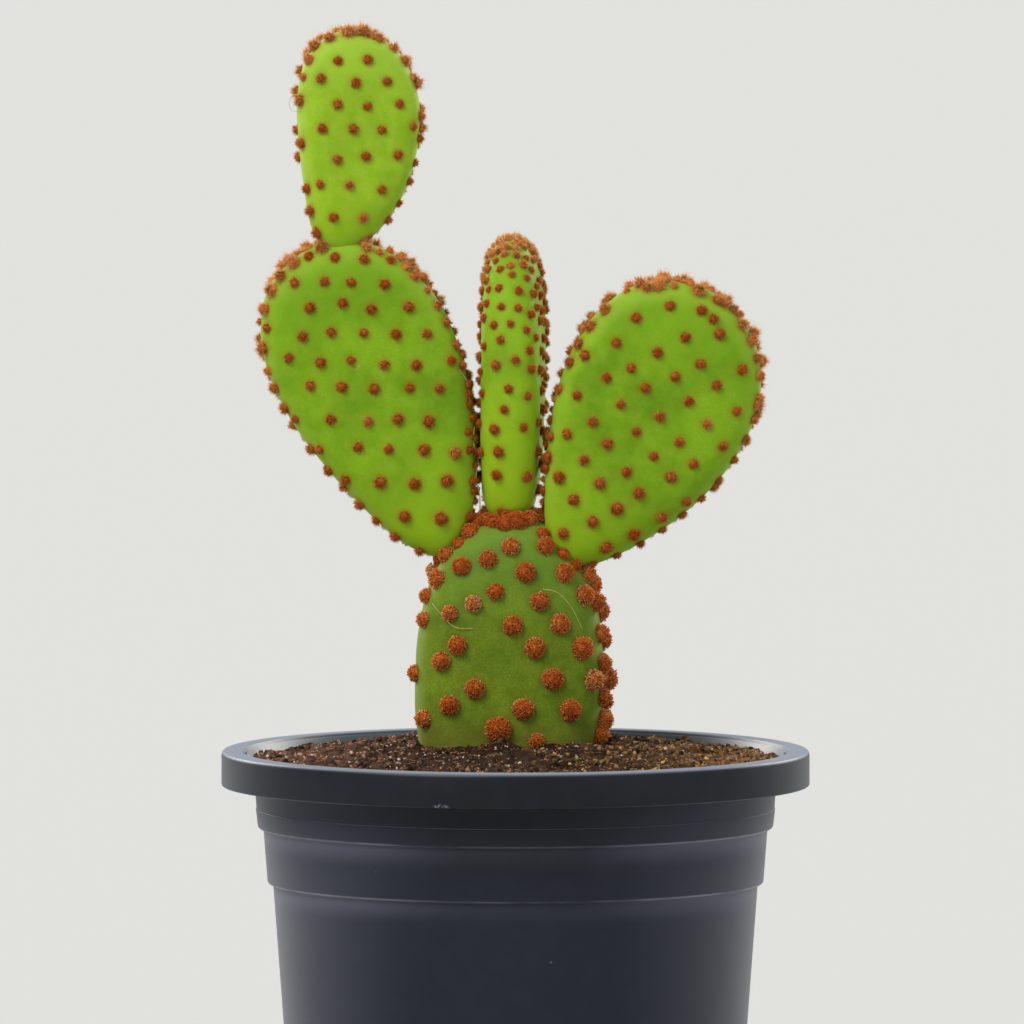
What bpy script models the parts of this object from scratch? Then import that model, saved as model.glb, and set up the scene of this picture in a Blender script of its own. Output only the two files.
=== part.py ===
"""Bunny ears cactus in a plastic nursery pot.

Metres, +Z up. The origin is the centre of the pot's foot, on the surface that it stands on,
and -Y is the front. The plant is a chain of flat stem segments, called pads here. Each pad is
one solid with the bristle tufts that grow on it, and each sits on the one below with a hairline
of room.
"""

import math
from dataclasses import dataclass, replace

import bmesh
import bpy
import numpy as np
from mathutils import Matrix, Vector

# General
COLLECTION_NAME = "potted_bunny_ears_cactus"
CUTTER_COLLECTION_NAME = "cutters"
GAP = 0.0003
TURN_STEPS = 40
TURN_MERGE = 0.00005
SHARP_ANGLE = math.radians(35.0)
SEED = 11

# Pot
POT_HEIGHT = 0.110
LIP_RADIUS = 0.065
LIP_DROP = 0.0077
LIP_ROUND = 0.0010
WALL = 0.0013
BODY_TOP_RADIUS = 0.0582
BODY_TAPER = math.radians(4.2)
STEP_DEPTHS = (0.0169, 0.0292)
STEP_IN = 0.00125
FOOT_RING_HEIGHT = 0.0030
FOOT_RING_WIDTH = 0.0060
FLOOR_THICKNESS = 0.0016
DRAIN_HOLES = 6
DRAIN_SIDES = 12
DRAIN_RADIUS = 0.0035
DRAIN_CIRCLE = 0.027

# Soil
SOIL_EDGE_HEIGHT = 0.1084
SOIL_CROWN_HEIGHT = 0.1118
SOIL_CROWN_RADIUS = 0.018
SOIL_RINGS = 7
SOIL_WAVE = 0.0005
SOIL_WAVE_TURNS = (330.0, 200.0, 430.0)

# Pads and tufts
PAD_SEGMENTS = 28
PAD_RINGS = 10
FACE_POWER = 6
FACE_SHARE = 0.86
RIM_ANGLE = 0.22
RIM_CROWDING = 0.35
MOST_ROWS = 20
OUTLINE_STEPS = 720
SLOPE_STEP = 0.00005
TUFT_SIDES = 5
TUFT_ROOT = 0.0009
TUFT_HEIGHT = 0.0016
TUFT_JITTER = 0.0004
TUFT_SIZE_SPREAD = 0.10
TUFT_TO_NEIGHBOUR = 0.0008
TUFT_OVER_SOIL = 0.0016


@dataclass(frozen=True)
class Rows:
    """Places of the tufts on a pad: rows across the faces, and a zigzag along the rim.

    The first row lies a distance below the tip. Each next one is a pitch lower, which grows by
    a share a row, and drifts sideways by a share of the spacing across, which widens by a share
    a row. slope tilts the rows and bend curves them. rim is the spacing along each side of the
    zigzag.
    """

    across: float
    widening: float
    shift: float
    drift: float
    first: float
    pitch: float
    growth: float
    slope: float
    bend: float
    rim: float
    closest: float
    radius: float


@dataclass(frozen=True)
class Pad:
    """A flat stem segment: where its foot is, how it leans, its outline and its rows of tufts."""

    name: str
    carrier: str
    foot: tuple
    lean: float
    nod: float
    turn: float
    length: float
    half_width: float
    half_depth: float
    taper: float
    fullness: float
    bow: float
    bow_high: float
    arch: float
    rows: Rows
    colour: tuple


PADS = (
    Pad(
        name="base_pad",
        carrier="soil",
        foot=(-0.0019, 0.0, 0.0838),
        lean=1.1,
        nod=0.0,
        turn=0.0,
        length=0.0789,
        half_width=0.0208,
        half_depth=0.0120,
        taper=0.051,
        fullness=0.151,
        bow=-0.0003,
        bow_high=0.0,
        arch=0.0,
        rows=Rows(0.0100, 0.007, -0.0007, 0.39, 0.0060, 0.0058, 0.008, -0.24, 12.0, 0.0078, 0.0056, 0.0024),
        colour=(0.075, 0.16, 0.05),
    ),
    Pad(
        name="left_pad",
        carrier="base_pad",
        foot=(-0.0149, -0.0010, 0.1533),
        lean=-23.8,
        nod=3.0,
        turn=-4.0,
        length=0.0749,
        half_width=0.0198,
        half_depth=0.0066,
        taper=0.316,
        fullness=0.017,
        bow=0.0007,
        bow_high=-0.0007,
        arch=0.0012,
        rows=Rows(0.0061, 0.016, -0.0021, 0.29, 0.0024, 0.0054, 0.032, -0.46, 1.0, 0.0054, 0.0038, 0.0016),
        colour=(0.20, 0.43, 0.035),
    ),
    Pad(
        name="upper_left_pad",
        carrier="left_pad",
        foot=(-0.0398, -0.0048, 0.2206),
        lean=5.7,
        nod=-4.0,
        turn=10.0,
        length=0.0492,
        half_width=0.0134,
        half_depth=0.0056,
        taper=0.231,
        fullness=0.108,
        bow=0.0025,
        bow_high=-0.0014,
        arch=-0.0008,
        rows=Rows(0.0064, 0.012, -0.0012, 0.55, 0.0018, 0.0044, 0.040, 0.09, 7.0, 0.0050, 0.0036, 0.0015),
        colour=(0.23, 0.47, 0.04),
    ),
    Pad(
        name="middle_pad",
        carrier="base_pad",
        foot=(-0.0016, 0.0020, 0.1585),
        lean=0.8,
        nod=-3.0,
        turn=86.0,
        length=0.0647,
        half_width=0.0165,
        half_depth=0.0067,
        taper=0.22,
        fullness=0.05,
        bow=0.0,
        bow_high=0.0,
        arch=-0.0006,
        rows=Rows(0.0066, 0.0, 0.0, 0.42, 0.0050, 0.0054, 0.010, 0.30, 0.0, 0.0050, 0.0036, 0.0015),
        colour=(0.19, 0.41, 0.035),
    ),
    Pad(
        name="right_pad",
        carrier="base_pad",
        foot=(0.0103, -0.0030, 0.1515),
        lean=28.1,
        nod=4.0,
        turn=6.0,
        length=0.0692,
        half_width=0.0209,
        half_depth=0.0066,
        taper=0.329,
        fullness=-0.047,
        bow=0.0015,
        bow_high=-0.0007,
        arch=0.0010,
        rows=Rows(0.0057, 0.006, 0.0028, 0.37, 0.0042, 0.0076, 0.0, -0.55, 1.0, 0.0056, 0.0038, 0.0016),
        colour=(0.20, 0.42, 0.035),
    ),
)


# Scene

def clear_scene():
    for obj in list(bpy.data.objects):
        bpy.data.objects.remove(obj, do_unlink=True)


def new_collection(name, cutters=False):
    collection = bpy.data.collections.new(name)
    collection.hide_render = cutters
    bpy.context.scene.collection.children.link(collection)
    return collection


def new_material(name, colour, roughness):
    material = bpy.data.materials.new(name)
    material.use_nodes = True
    shader = material.node_tree.nodes["Principled BSDF"]
    shader.inputs["Base Color"].default_value = (*colour, 1.0)
    shader.inputs["Roughness"].default_value = roughness
    material.diffuse_color = (*colour, 1.0)
    return material


def new_object(name, mesh, collection):
    obj = bpy.data.objects.new(name, mesh)
    collection.objects.link(obj)
    return obj


def as_cutter(obj):
    obj.hide_render = True
    obj.display_type = "WIRE"
    return obj


def evaluated_copy(obj):
    """The mesh that the object's modifiers give, as a mesh of its own."""
    graph = bpy.context.evaluated_depsgraph_get()
    return bpy.data.meshes.new_from_object(obj.evaluated_get(graph))


def apply_modifiers(obj):
    """Keeps the shape that the modifiers give and takes them off."""
    obj.data = evaluated_copy(obj)
    obj.modifiers.clear()


def shade_round(obj):
    obj.data.shade_smooth()
    obj.data.set_sharp_from_angle(angle=SHARP_ANGLE)


def turned_object(name, profile, collection):
    """Turns a profile of radius and height round Z, given down its outer side."""
    mesh = bpy.data.meshes.new(name)
    points = [(radius, 0.0, height) for radius, height in profile]
    edges = [(index, index + 1) for index in range(len(points) - 1)]
    mesh.from_pydata(points, edges, [])
    obj = new_object(name, mesh, collection)
    screw = obj.modifiers.new("turn", "SCREW")
    screw.steps = TURN_STEPS
    screw.render_steps = TURN_STEPS
    screw.use_merge_vertices = True
    screw.merge_threshold = TURN_MERGE
    return obj


# Pot

def outer_radius(height, steps_above):
    """Radius of the pot's outside at a height, below a number of its steps."""
    return BODY_TOP_RADIUS - (POT_HEIGHT - height) * math.tan(BODY_TAPER) - steps_above * STEP_IN


def wall_profile(inset, low, high):
    """Points down the stepped wall, moved in by an inset, from a high to a low height."""
    points = [(outer_radius(high, 0) - inset, high)]
    for count, depth in enumerate(STEP_DEPTHS):
        ledge = POT_HEIGHT - depth + inset
        points.append((outer_radius(ledge, count) - inset, ledge))
        points.append((outer_radius(ledge, count + 1) - inset, ledge - STEP_IN / 2))
    points.append((outer_radius(low, len(STEP_DEPTHS)) - inset, low))
    return points


def make_pot(collection, cutters):
    floor_top = FOOT_RING_HEIGHT + FLOOR_THICKNESS
    skirt_foot = POT_HEIGHT - LIP_DROP
    inner_wall = wall_profile(WALL, floor_top, POT_HEIGHT - LIP_ROUND)
    outer_wall = wall_profile(0.0, LIP_ROUND, POT_HEIGHT - WALL)
    foot_radius = outer_radius(0.0, len(STEP_DEPTHS)) - LIP_ROUND
    lip = [
        (inner_wall[0][0] + LIP_ROUND, POT_HEIGHT),
        (LIP_RADIUS - LIP_ROUND, POT_HEIGHT),
        (LIP_RADIUS, POT_HEIGHT - LIP_ROUND),
        (LIP_RADIUS, skirt_foot),
        (LIP_RADIUS - WALL, skirt_foot),
        (LIP_RADIUS - WALL, POT_HEIGHT - WALL),
    ]
    foot = [
        (foot_radius, 0.0),
        (foot_radius - FOOT_RING_WIDTH, 0.0),
        (foot_radius - FOOT_RING_WIDTH - LIP_ROUND, FOOT_RING_HEIGHT),
        (0.0, FOOT_RING_HEIGHT),
    ]
    profile = [(0.0, floor_top)] + inner_wall[::-1] + lip + outer_wall + foot
    pot = turned_object("pot", profile, collection)
    pot.data.materials.append(new_material("pot_plastic", (0.028, 0.031, 0.040), 0.35))
    add_drain_holes(pot, cutters)
    apply_modifiers(pot)
    shade_round(pot)
    return pot


def add_drain_holes(pot, cutters):
    """Cuts a ring of plain holes through the raised floor, with one in the middle."""
    places = [(0.0, 0.0)]
    for index in range(DRAIN_HOLES):
        angle = 2 * math.pi * index / DRAIN_HOLES
        places.append((DRAIN_CIRCLE * math.cos(angle), DRAIN_CIRCLE * math.sin(angle)))
    depth = 4 * (FOOT_RING_HEIGHT + FLOOR_THICKNESS)
    cutter_mesh = bpy.data.meshes.new("drain_cutter")
    shape = bmesh.new()
    for x, y in places:
        bmesh.ops.create_cone(
            shape,
            cap_ends=True,
            segments=DRAIN_SIDES,
            radius1=DRAIN_RADIUS,
            radius2=DRAIN_RADIUS,
            depth=depth,
            matrix=Matrix.Translation((x, y, 0.0)),
        )
    shape.to_mesh(cutter_mesh)
    shape.free()
    cutter = as_cutter(new_object("drain_cutter", cutter_mesh, cutters))
    cut = pot.modifiers.new("drain", "BOOLEAN")
    cut.operation = "DIFFERENCE"
    cut.solver = "EXACT"
    cut.object = cutter


# Pad form

def outline(pad, around):
    """Points across and along on the pad's outline, from its tip round its right side."""
    tip = np.cos(around)
    side = np.sin(around)
    breadth = pad.half_width * (1 + pad.taper * tip + pad.fullness * tip**2)
    across = side * breadth + side**2 * (pad.bow + pad.bow_high * tip)
    along = pad.length / 2 * (1 + tip)
    return across, along


def arch_at(pad, along):
    """How far the middle plane of the pad is pushed back at a distance along it."""
    return pad.arch * (1 - (2 * along / pad.length - 1) ** 2)


def face_depth(pad, share):
    """Distance of a face from the middle plane: full in the middle and rounded off at the rim."""
    return pad.half_depth * np.sqrt(np.maximum(0.0, 1 - share**FACE_POWER))


def skin_points(pad, around, over):
    """Local points of the skin. over runs from 0 in the front face to pi in the back face."""
    rim_across, rim_along = outline(pad, around)
    out = np.sin(over)
    across = pad.bow + out * (rim_across - pad.bow)
    along = pad.length / 2 + out * (rim_along - pad.length / 2)
    depth = -np.sign(np.cos(over)) * face_depth(pad, out) + arch_at(pad, along)
    return np.stack([across, depth, along], axis=-1)


def rim_share(pad, across, along):
    """How far out a place on the face lies: 0 at its middle and 1 on the outline."""
    around = np.linspace(-math.pi, math.pi, OUTLINE_STEPS, endpoint=False)
    rim_across, rim_along = outline(pad, around)
    rim_across = rim_across - pad.bow
    rim_along = rim_along - pad.length / 2
    bearing = np.arctan2(rim_across, rim_along)
    reach = np.hypot(rim_across, rim_along)
    here = np.arctan2(across - pad.bow, along - pad.length / 2)
    full = np.interp(here, bearing, reach, period=2 * math.pi)
    return np.hypot(across - pad.bow, along - pad.length / 2) / full


def form(pad, points):
    """Below zero inside the pad, zero on its skin and above zero outside, at local points."""
    across, depth, along = points[..., 0], points[..., 1], points[..., 2]
    level = (depth - arch_at(pad, along)) / pad.half_depth
    return level**2 + rim_share(pad, across, along) ** FACE_POWER - 1


def skin_normals(pad, points):
    """Outward directions of the skin, from the slope of the form."""
    slope = []
    for axis in range(3):
        shift = np.zeros(3)
        shift[axis] = SLOPE_STEP
        slope.append(form(pad, points + shift) - form(pad, points - shift))
    slope = np.stack(slope, axis=-1)
    return slope / np.linalg.norm(slope, axis=-1, keepdims=True)


def grown(pad, margin):
    """The same pad with its skin moved out by a margin."""
    shift = Vector(pad.foot) - pad_matrix(pad).to_3x3() @ Vector((0, 0, margin))
    return replace(
        pad,
        foot=tuple(shift),
        length=pad.length + 2 * margin,
        half_width=pad.half_width + margin,
        half_depth=pad.half_depth + margin,
    )


def pad_matrix(pad):
    """Places a pad: its own axis is local Z, its front face looks along local -Y."""
    return (
        Matrix.Translation(pad.foot)
        @ Matrix.Rotation(math.radians(pad.lean), 4, "Y")
        @ Matrix.Rotation(math.radians(pad.nod), 4, "X")
        @ Matrix.Rotation(math.radians(pad.turn), 4, "Z")
    )


def to_world(pad, points):
    matrix = np.array(pad_matrix(pad))
    return points @ matrix[:3, :3].T + matrix[:3, 3]


def to_local(pad, points):
    matrix = np.array(pad_matrix(pad).inverted())
    return points @ matrix[:3, :3].T + matrix[:3, 3]


def pad_body(pad, name, collection):
    """A sphere primitive with its poles in the two faces, drawn out to the pad's form."""
    mesh = bpy.data.meshes.new(name)
    shape = bmesh.new()
    poles_in_faces = Matrix.Rotation(math.radians(90), 4, "X")
    bmesh.ops.create_uvsphere(
        shape, u_segments=PAD_SEGMENTS, v_segments=PAD_RINGS, radius=1.0, matrix=poles_in_faces
    )
    ball = np.array([vertex.co for vertex in shape.verts])
    around = np.arctan2(ball[:, 0], ball[:, 2])
    over = np.arccos(np.clip(-ball[:, 1], -1, 1))
    places = to_world(pad, skin_points(pad, around, over))
    for vertex, place in zip(shape.verts, places):
        vertex.co = place
    bmesh.ops.recalc_face_normals(shape, faces=shape.faces)
    bmesh.ops.triangulate(shape, faces=shape.faces)
    shape.to_mesh(mesh)
    shape.free()
    return new_object(name, mesh, collection)


# Tuft places

def face_places(pad, side, random):
    """Rows over one face, as local points. side is -1 in front and 1 behind."""
    rows = pad.rows
    numbers = np.arange(-MOST_ROWS, MOST_ROWS + 1)
    row, column = np.meshgrid(numbers[numbers > -MOST_ROWS // 4], numbers, indexing="ij")
    row = row.ravel()
    spacing = rows.across * (1 + rows.widening * row)
    across = rows.shift + (column.ravel() + rows.drift * row) * spacing
    along = pad.length - rows.first - rows.pitch * row * (1 + rows.growth * row)
    along = along - side * rows.slope * across + rows.bend * across**2
    across = across + random.normal(0.0, TUFT_JITTER, len(row))
    along = along + random.normal(0.0, TUFT_JITTER, len(row))
    share = rim_share(pad, across, along)
    kept = share < FACE_SHARE
    across, along, share = across[kept], along[kept], share[kept]
    depth = side * face_depth(pad, share) + arch_at(pad, along)
    return np.stack([across, depth, along], axis=-1)


def rim_places(pad, over, phase, random):
    """A row that follows the outline, closer set towards the tip, as local points."""
    around = np.linspace(-math.pi, math.pi, OUTLINE_STEPS + 1)
    ring = skin_points(pad, around, np.full_like(around, over))
    steps = np.linalg.norm(np.diff(ring, axis=0), axis=1)
    crowd = 1.0 + RIM_CROWDING * np.maximum(0.0, np.cos(around[:-1]))
    counted = np.concatenate([[0.0], np.cumsum(steps * crowd)]) / pad.rows.rim
    marks = np.arange(phase, counted[-1], 1.0)
    marks = marks + random.normal(0.0, TUFT_JITTER / pad.rows.rim, len(marks))
    chosen = np.interp(marks, counted, around)
    return skin_points(pad, chosen, np.full_like(chosen, over))


def thinned(places, closest):
    """Keeps each place that isn't too close to one kept before it."""
    kept = []
    for place in places:
        if all(np.linalg.norm(place - other) >= closest for other in kept):
            kept.append(place)
    return np.array(kept)


def tuft_places(pad, random):
    """All tuft places of a pad that stand free of its own other tufts, as local points."""
    front_rim = rim_places(pad, math.pi / 2 - RIM_ANGLE, 0.25, random)
    back_rim = rim_places(pad, math.pi / 2 + RIM_ANGLE, 0.75, random)
    front = face_places(pad, -1, random)
    back = face_places(pad, 1, random)
    return thinned(np.concatenate([front_rim, back_rim, front, back]), pad.rows.closest)


def free_tufts(pad, taken, random):
    """World places, directions and sizes of a pad's tufts, clear of the other pads and soil."""
    local = tuft_places(pad, random)
    world = to_world(pad, local)
    turn = np.array(pad_matrix(pad).to_3x3())
    directions = skin_normals(pad, local) @ turn.T
    sizes = pad.rows.radius * random.uniform(1 - TUFT_SIZE_SPREAD, 1 + TUFT_SIZE_SPREAD, len(world))
    tops = world + directions * TUFT_HEIGHT
    free = world[:, 2] > SOIL_CROWN_HEIGHT + TUFT_OVER_SOIL
    for other in PADS:
        if other.name == pad.name:
            continue
        wide = grown(other, pad.rows.radius + TUFT_TO_NEIGHBOUR)
        slim = grown(other, TUFT_TO_NEIGHBOUR)
        free &= form(wide, to_local(wide, world)) > 0
        free &= form(slim, to_local(slim, tops)) > 0
    for index in np.flatnonzero(free):
        middle = world[index] + directions[index] * TUFT_HEIGHT / 2
        for other_middle, other_size in taken:
            if np.linalg.norm(middle - other_middle) < sizes[index] + other_size + TUFT_HEIGHT / 2:
                free[index] = False
    for index in np.flatnonzero(free):
        taken.append((world[index] + directions[index] * TUFT_HEIGHT / 2, sizes[index]))
    return world[free], directions[free], sizes[free]


# Pads

def tuft_object(index, place, direction, size, collection):
    """One tuft: a low cone with its root sunk into the pad."""
    mesh = bpy.data.meshes.new(f"tuft_{index}")
    shape = bmesh.new()
    height = TUFT_HEIGHT + TUFT_ROOT
    upright = Vector(direction).to_track_quat("Z", "Y").to_matrix().to_4x4()
    centre = Vector(place) + Vector(direction) * (TUFT_HEIGHT - TUFT_ROOT) / 2
    bmesh.ops.create_cone(
        shape,
        cap_ends=True,
        segments=TUFT_SIDES,
        radius1=size * height / TUFT_HEIGHT,
        radius2=0.0,
        depth=height,
        matrix=Matrix.Translation(centre) @ upright,
    )
    shape.to_mesh(mesh)
    shape.free()
    return new_object(mesh.name, mesh, collection)


def fuse_tufts(body, places, directions, sizes, material):
    """Joins all the tufts to the pad in one union and removes the loose ones."""
    collection = new_collection(f"{body.name}_tufts", cutters=True)
    for index, (place, direction, size) in enumerate(zip(places, directions, sizes)):
        tuft = as_cutter(tuft_object(index, place, direction, size, collection))
        tuft.data.materials.append(material)
    union = body.modifiers.new("tufts", "BOOLEAN")
    union.operation = "UNION"
    union.solver = "EXACT"
    union.operand_type = "COLLECTION"
    union.collection = collection
    union.material_mode = "TRANSFER"
    apply_modifiers(body)
    for tuft in list(collection.objects):
        bpy.data.objects.remove(tuft, do_unlink=True)
    bpy.data.collections.remove(collection)


def seat_on_carrier(body, pad, cutters):
    """Ends a pad's foot a hairline short of the pad that carries it."""
    carrier = next((other for other in PADS if other.name == pad.carrier), None)
    if carrier is None:
        return
    cutter = as_cutter(pad_body(grown(carrier, GAP), f"{pad.name}_seat", cutters))
    cut = body.modifiers.new("seat", "BOOLEAN")
    cut.operation = "DIFFERENCE"
    cut.solver = "EXACT"
    cut.object = cutter
    apply_modifiers(body)


def make_pads(collection, cutters):
    random = np.random.default_rng(SEED)
    tuft_material = new_material("tuft_bristle", (0.32, 0.10, 0.03), 0.8)
    taken = []
    for pad in PADS:
        body = pad_body(pad, pad.name, collection)
        body.data.materials.append(new_material(f"{pad.name}_skin", pad.colour, 0.6))
        seat_on_carrier(body, pad, cutters)
        fuse_tufts(body, *free_tufts(pad, taken, random), tuft_material)
        shade_round(body)


# Soil

def soil_height(radius):
    """Height of the soil at a radius: level round the plant, then falling to the wall."""
    edge_radius = outer_radius(SOIL_EDGE_HEIGHT, 0) - WALL - GAP
    share = np.clip((radius - SOIL_CROWN_RADIUS) / (edge_radius - SOIL_CROWN_RADIUS), 0, 1)
    fall = share**2 * (3 - 2 * share)
    return SOIL_CROWN_HEIGHT + (SOIL_EDGE_HEIGHT - SOIL_CROWN_HEIGHT) * fall


def soil_wave(across, deep):
    """Rise or fall of the surface, from two crossing waves."""
    long_turns, skew_turns, short_turns = SOIL_WAVE_TURNS
    first = math.sin(long_turns * across + skew_turns * deep)
    second = math.cos(short_turns * deep - long_turns * across)
    return SOIL_WAVE * (first + second)


def make_soil(collection, cutters):
    floor = FOOT_RING_HEIGHT + FLOOR_THICKNESS + GAP
    wall = wall_profile(WALL + GAP, floor, SOIL_EDGE_HEIGHT)
    radii = np.linspace(0.0, wall[0][0], SOIL_RINGS + 1)[:-1]
    top = [(float(radius), float(soil_height(radius))) for radius in radii]
    soil = turned_object("soil", top + wall + [(0.0, floor)], collection)
    soil.data.materials.append(new_material("potting_soil", (0.055, 0.034, 0.022), 0.95))
    apply_modifiers(soil)
    for vertex in soil.data.vertices:
        if vertex.co.z > SOIL_EDGE_HEIGHT + GAP:
            vertex.co.z += soil_wave(vertex.co.x, vertex.co.y)
    base = PADS[0]
    cutter = as_cutter(pad_body(grown(base, GAP), "plant_hole", cutters))
    cut = soil.modifiers.new("plant_hole", "BOOLEAN")
    cut.operation = "DIFFERENCE"
    cut.solver = "EXACT"
    cut.object = cutter
    apply_modifiers(soil)
    shade_round(soil)
    return soil


def main():
    clear_scene()
    collection = new_collection(COLLECTION_NAME)
    cutters = new_collection(CUTTER_COLLECTION_NAME, cutters=True)
    make_pot(collection, cutters)
    make_soil(collection, cutters)
    make_pads(collection, cutters)


main()
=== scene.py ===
"""Bunny ears cactus in its nursery pot: the finished plant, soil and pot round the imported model.

Metres, +Z up, -Y towards the camera. Each class below is one sub-assembly and holds its sizes. The
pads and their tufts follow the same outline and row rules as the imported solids, at a finer grain.
"""

import logging
import math
from collections.abc import Callable, Iterator
from contextlib import contextmanager
from dataclasses import dataclass, replace
from enum import Enum
from functools import cache

import bpy
import numpy as np
from mathutils import Matrix, Vector, noise

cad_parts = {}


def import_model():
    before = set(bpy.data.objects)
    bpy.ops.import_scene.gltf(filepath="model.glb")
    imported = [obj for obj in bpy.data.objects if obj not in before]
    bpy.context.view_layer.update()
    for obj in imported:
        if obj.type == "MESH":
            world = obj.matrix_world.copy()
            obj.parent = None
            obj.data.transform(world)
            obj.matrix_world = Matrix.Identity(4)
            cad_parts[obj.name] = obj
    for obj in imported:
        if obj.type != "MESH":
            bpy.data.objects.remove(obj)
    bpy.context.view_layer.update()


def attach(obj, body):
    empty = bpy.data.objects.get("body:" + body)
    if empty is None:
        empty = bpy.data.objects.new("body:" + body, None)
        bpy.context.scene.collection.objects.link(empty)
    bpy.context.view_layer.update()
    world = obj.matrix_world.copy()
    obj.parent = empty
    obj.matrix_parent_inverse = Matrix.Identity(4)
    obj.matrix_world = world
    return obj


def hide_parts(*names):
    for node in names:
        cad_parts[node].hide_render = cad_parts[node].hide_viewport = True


LOG = logging.getLogger("cactus")

BODY = "root"
TUFT_SEED = 11
LOOK_SEED = 23
BAKE_UV = "OFBake"
SMOOTH_ANGLE = math.radians(40.0)
SOFT_ANGLE = math.radians(60.0)

Array = np.ndarray
Random = np.random.Generator
Piece = bpy.types.Object
Socket = bpy.types.NodeSocket
Colour = tuple[float, float, float]


# Working with Blender's operators


def make_active(piece: Piece) -> None:
    """Selects one object alone and makes it the active one.

    Args:
        piece: the object.
    """
    bpy.ops.object.select_all(action="DESELECT")
    piece.select_set(True)
    bpy.context.view_layer.objects.active = piece


@contextmanager
def edit_mode(piece: Piece) -> Iterator[None]:
    """Works on one object in edit mode, with all of it selected.

    Args:
        piece: the mesh object to edit. It leaves edit mode again afterwards.
    """
    make_active(piece)
    bpy.ops.object.mode_set(mode="EDIT")
    bpy.ops.mesh.select_all(action="SELECT")
    yield
    bpy.ops.object.mode_set(mode="OBJECT")


def new_piece(name: str, add: Callable, **settings: object) -> Piece:
    """Adds a primitive, with its place and turn in its mesh.

    Args:
        name: the name of the object and of its mesh.
        add: Blender's operator that adds the primitive.
        settings: the primitive's sizes and place.

    Returns:
        The new object.
    """
    bpy.ops.object.select_all(action="DESELECT")
    add(**settings)
    bpy.ops.object.transform_apply(location=True, rotation=True, scale=True)
    piece = bpy.context.object
    piece.name = name
    piece.data.name = name
    return piece


def in_scene(name: str, data: bpy.types.ID) -> Piece:
    """A new object in the scene for a mesh, curve, light or camera.

    Args:
        name: its name.
        data: what it shows.

    Returns:
        The new object.
    """
    piece = bpy.data.objects.new(name, data)
    bpy.context.scene.collection.objects.link(piece)
    return piece


def apply_modifier(piece: Piece, kind: str, **settings: object) -> None:
    """Adds one modifier and applies it at once.

    Args:
        piece: the object to change.
        kind: the modifier's type.
        settings: its properties by name.
    """
    make_active(piece)
    modifier = piece.modifiers.new(kind.lower(), kind)
    for key, value in settings.items():
        setattr(modifier, key, value)
    bpy.ops.object.modifier_apply(modifier=modifier.name)


def cut_away(piece: Piece, cutter: Piece, solver: str) -> None:
    """Cuts one closed object out of another, and removes the cutter."""
    apply_modifier(piece, "BOOLEAN", operation="DIFFERENCE", solver=solver, object=cutter)
    bpy.data.objects.remove(cutter, do_unlink=True)


def smooth(piece: Piece, angle: float = SMOOTH_ANGLE) -> None:
    """Shades a piece smooth, apart from edges sharper than an angle."""
    make_active(piece)
    bpy.ops.object.shade_smooth_by_angle(angle=angle)


def outward_normals(piece: Piece) -> None:
    """Merges a piece's doubles and turns its faces outward.

    Args:
        piece: the mesh object to mend.
    """
    with edit_mode(piece):
        bpy.ops.mesh.remove_doubles(threshold=1e-6)
        bpy.ops.mesh.normals_make_consistent(inside=False)


def dress(piece: Piece, material: bpy.types.Material) -> None:
    """Gives a piece one material."""
    piece.data.materials.clear()
    piece.data.materials.append(material)


def read_points(piece: Piece) -> Array:
    """The places of a mesh's vertices, as an array of rows.

    Args:
        piece: the mesh object.

    Returns:
        Its points, one to a row.
    """
    points = np.empty(len(piece.data.vertices) * 3)
    piece.data.vertices.foreach_get("co", points)
    return points.reshape(-1, 3)


def write_points(piece: Piece, points: Array) -> None:
    """Moves a mesh's vertices to new places."""
    piece.data.vertices.foreach_set("co", points.ravel())
    piece.data.update()


def crumple(piece: Piece, share: float, random: Random) -> None:
    """Moves each vertex in or out from the origin, at random, by up to a share."""
    points = read_points(piece)
    write_points(piece, points * random.uniform(1 - share, 1 + share, (len(points), 1)))


def set_attribute(piece: Piece, name: str, values: Array) -> None:
    """Stores one number for each vertex under a name, which a material can read."""
    attribute = piece.data.attributes.new(name, "FLOAT", "POINT")
    attribute.data.foreach_set("value", values.astype(np.float32))


def report(piece: Piece) -> None:
    """Logs a finished piece and its size in triangles."""
    piece.data.calc_loop_triangles()
    LOG.info("%s: %d triangles", piece.name, len(piece.data.loop_triangles))


# Copies of one modelled shape


@dataclass
class Placing:
    """Where the copies of one shape go.

    Attributes:
        turns: a 3 x 3 matrix for each copy, with its size in it.
        places: a point for each copy.
        tones: a number from 0 to 1 for each copy, which its colour follows.
    """

    turns: Array
    places: Array
    tones: Array


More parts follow.
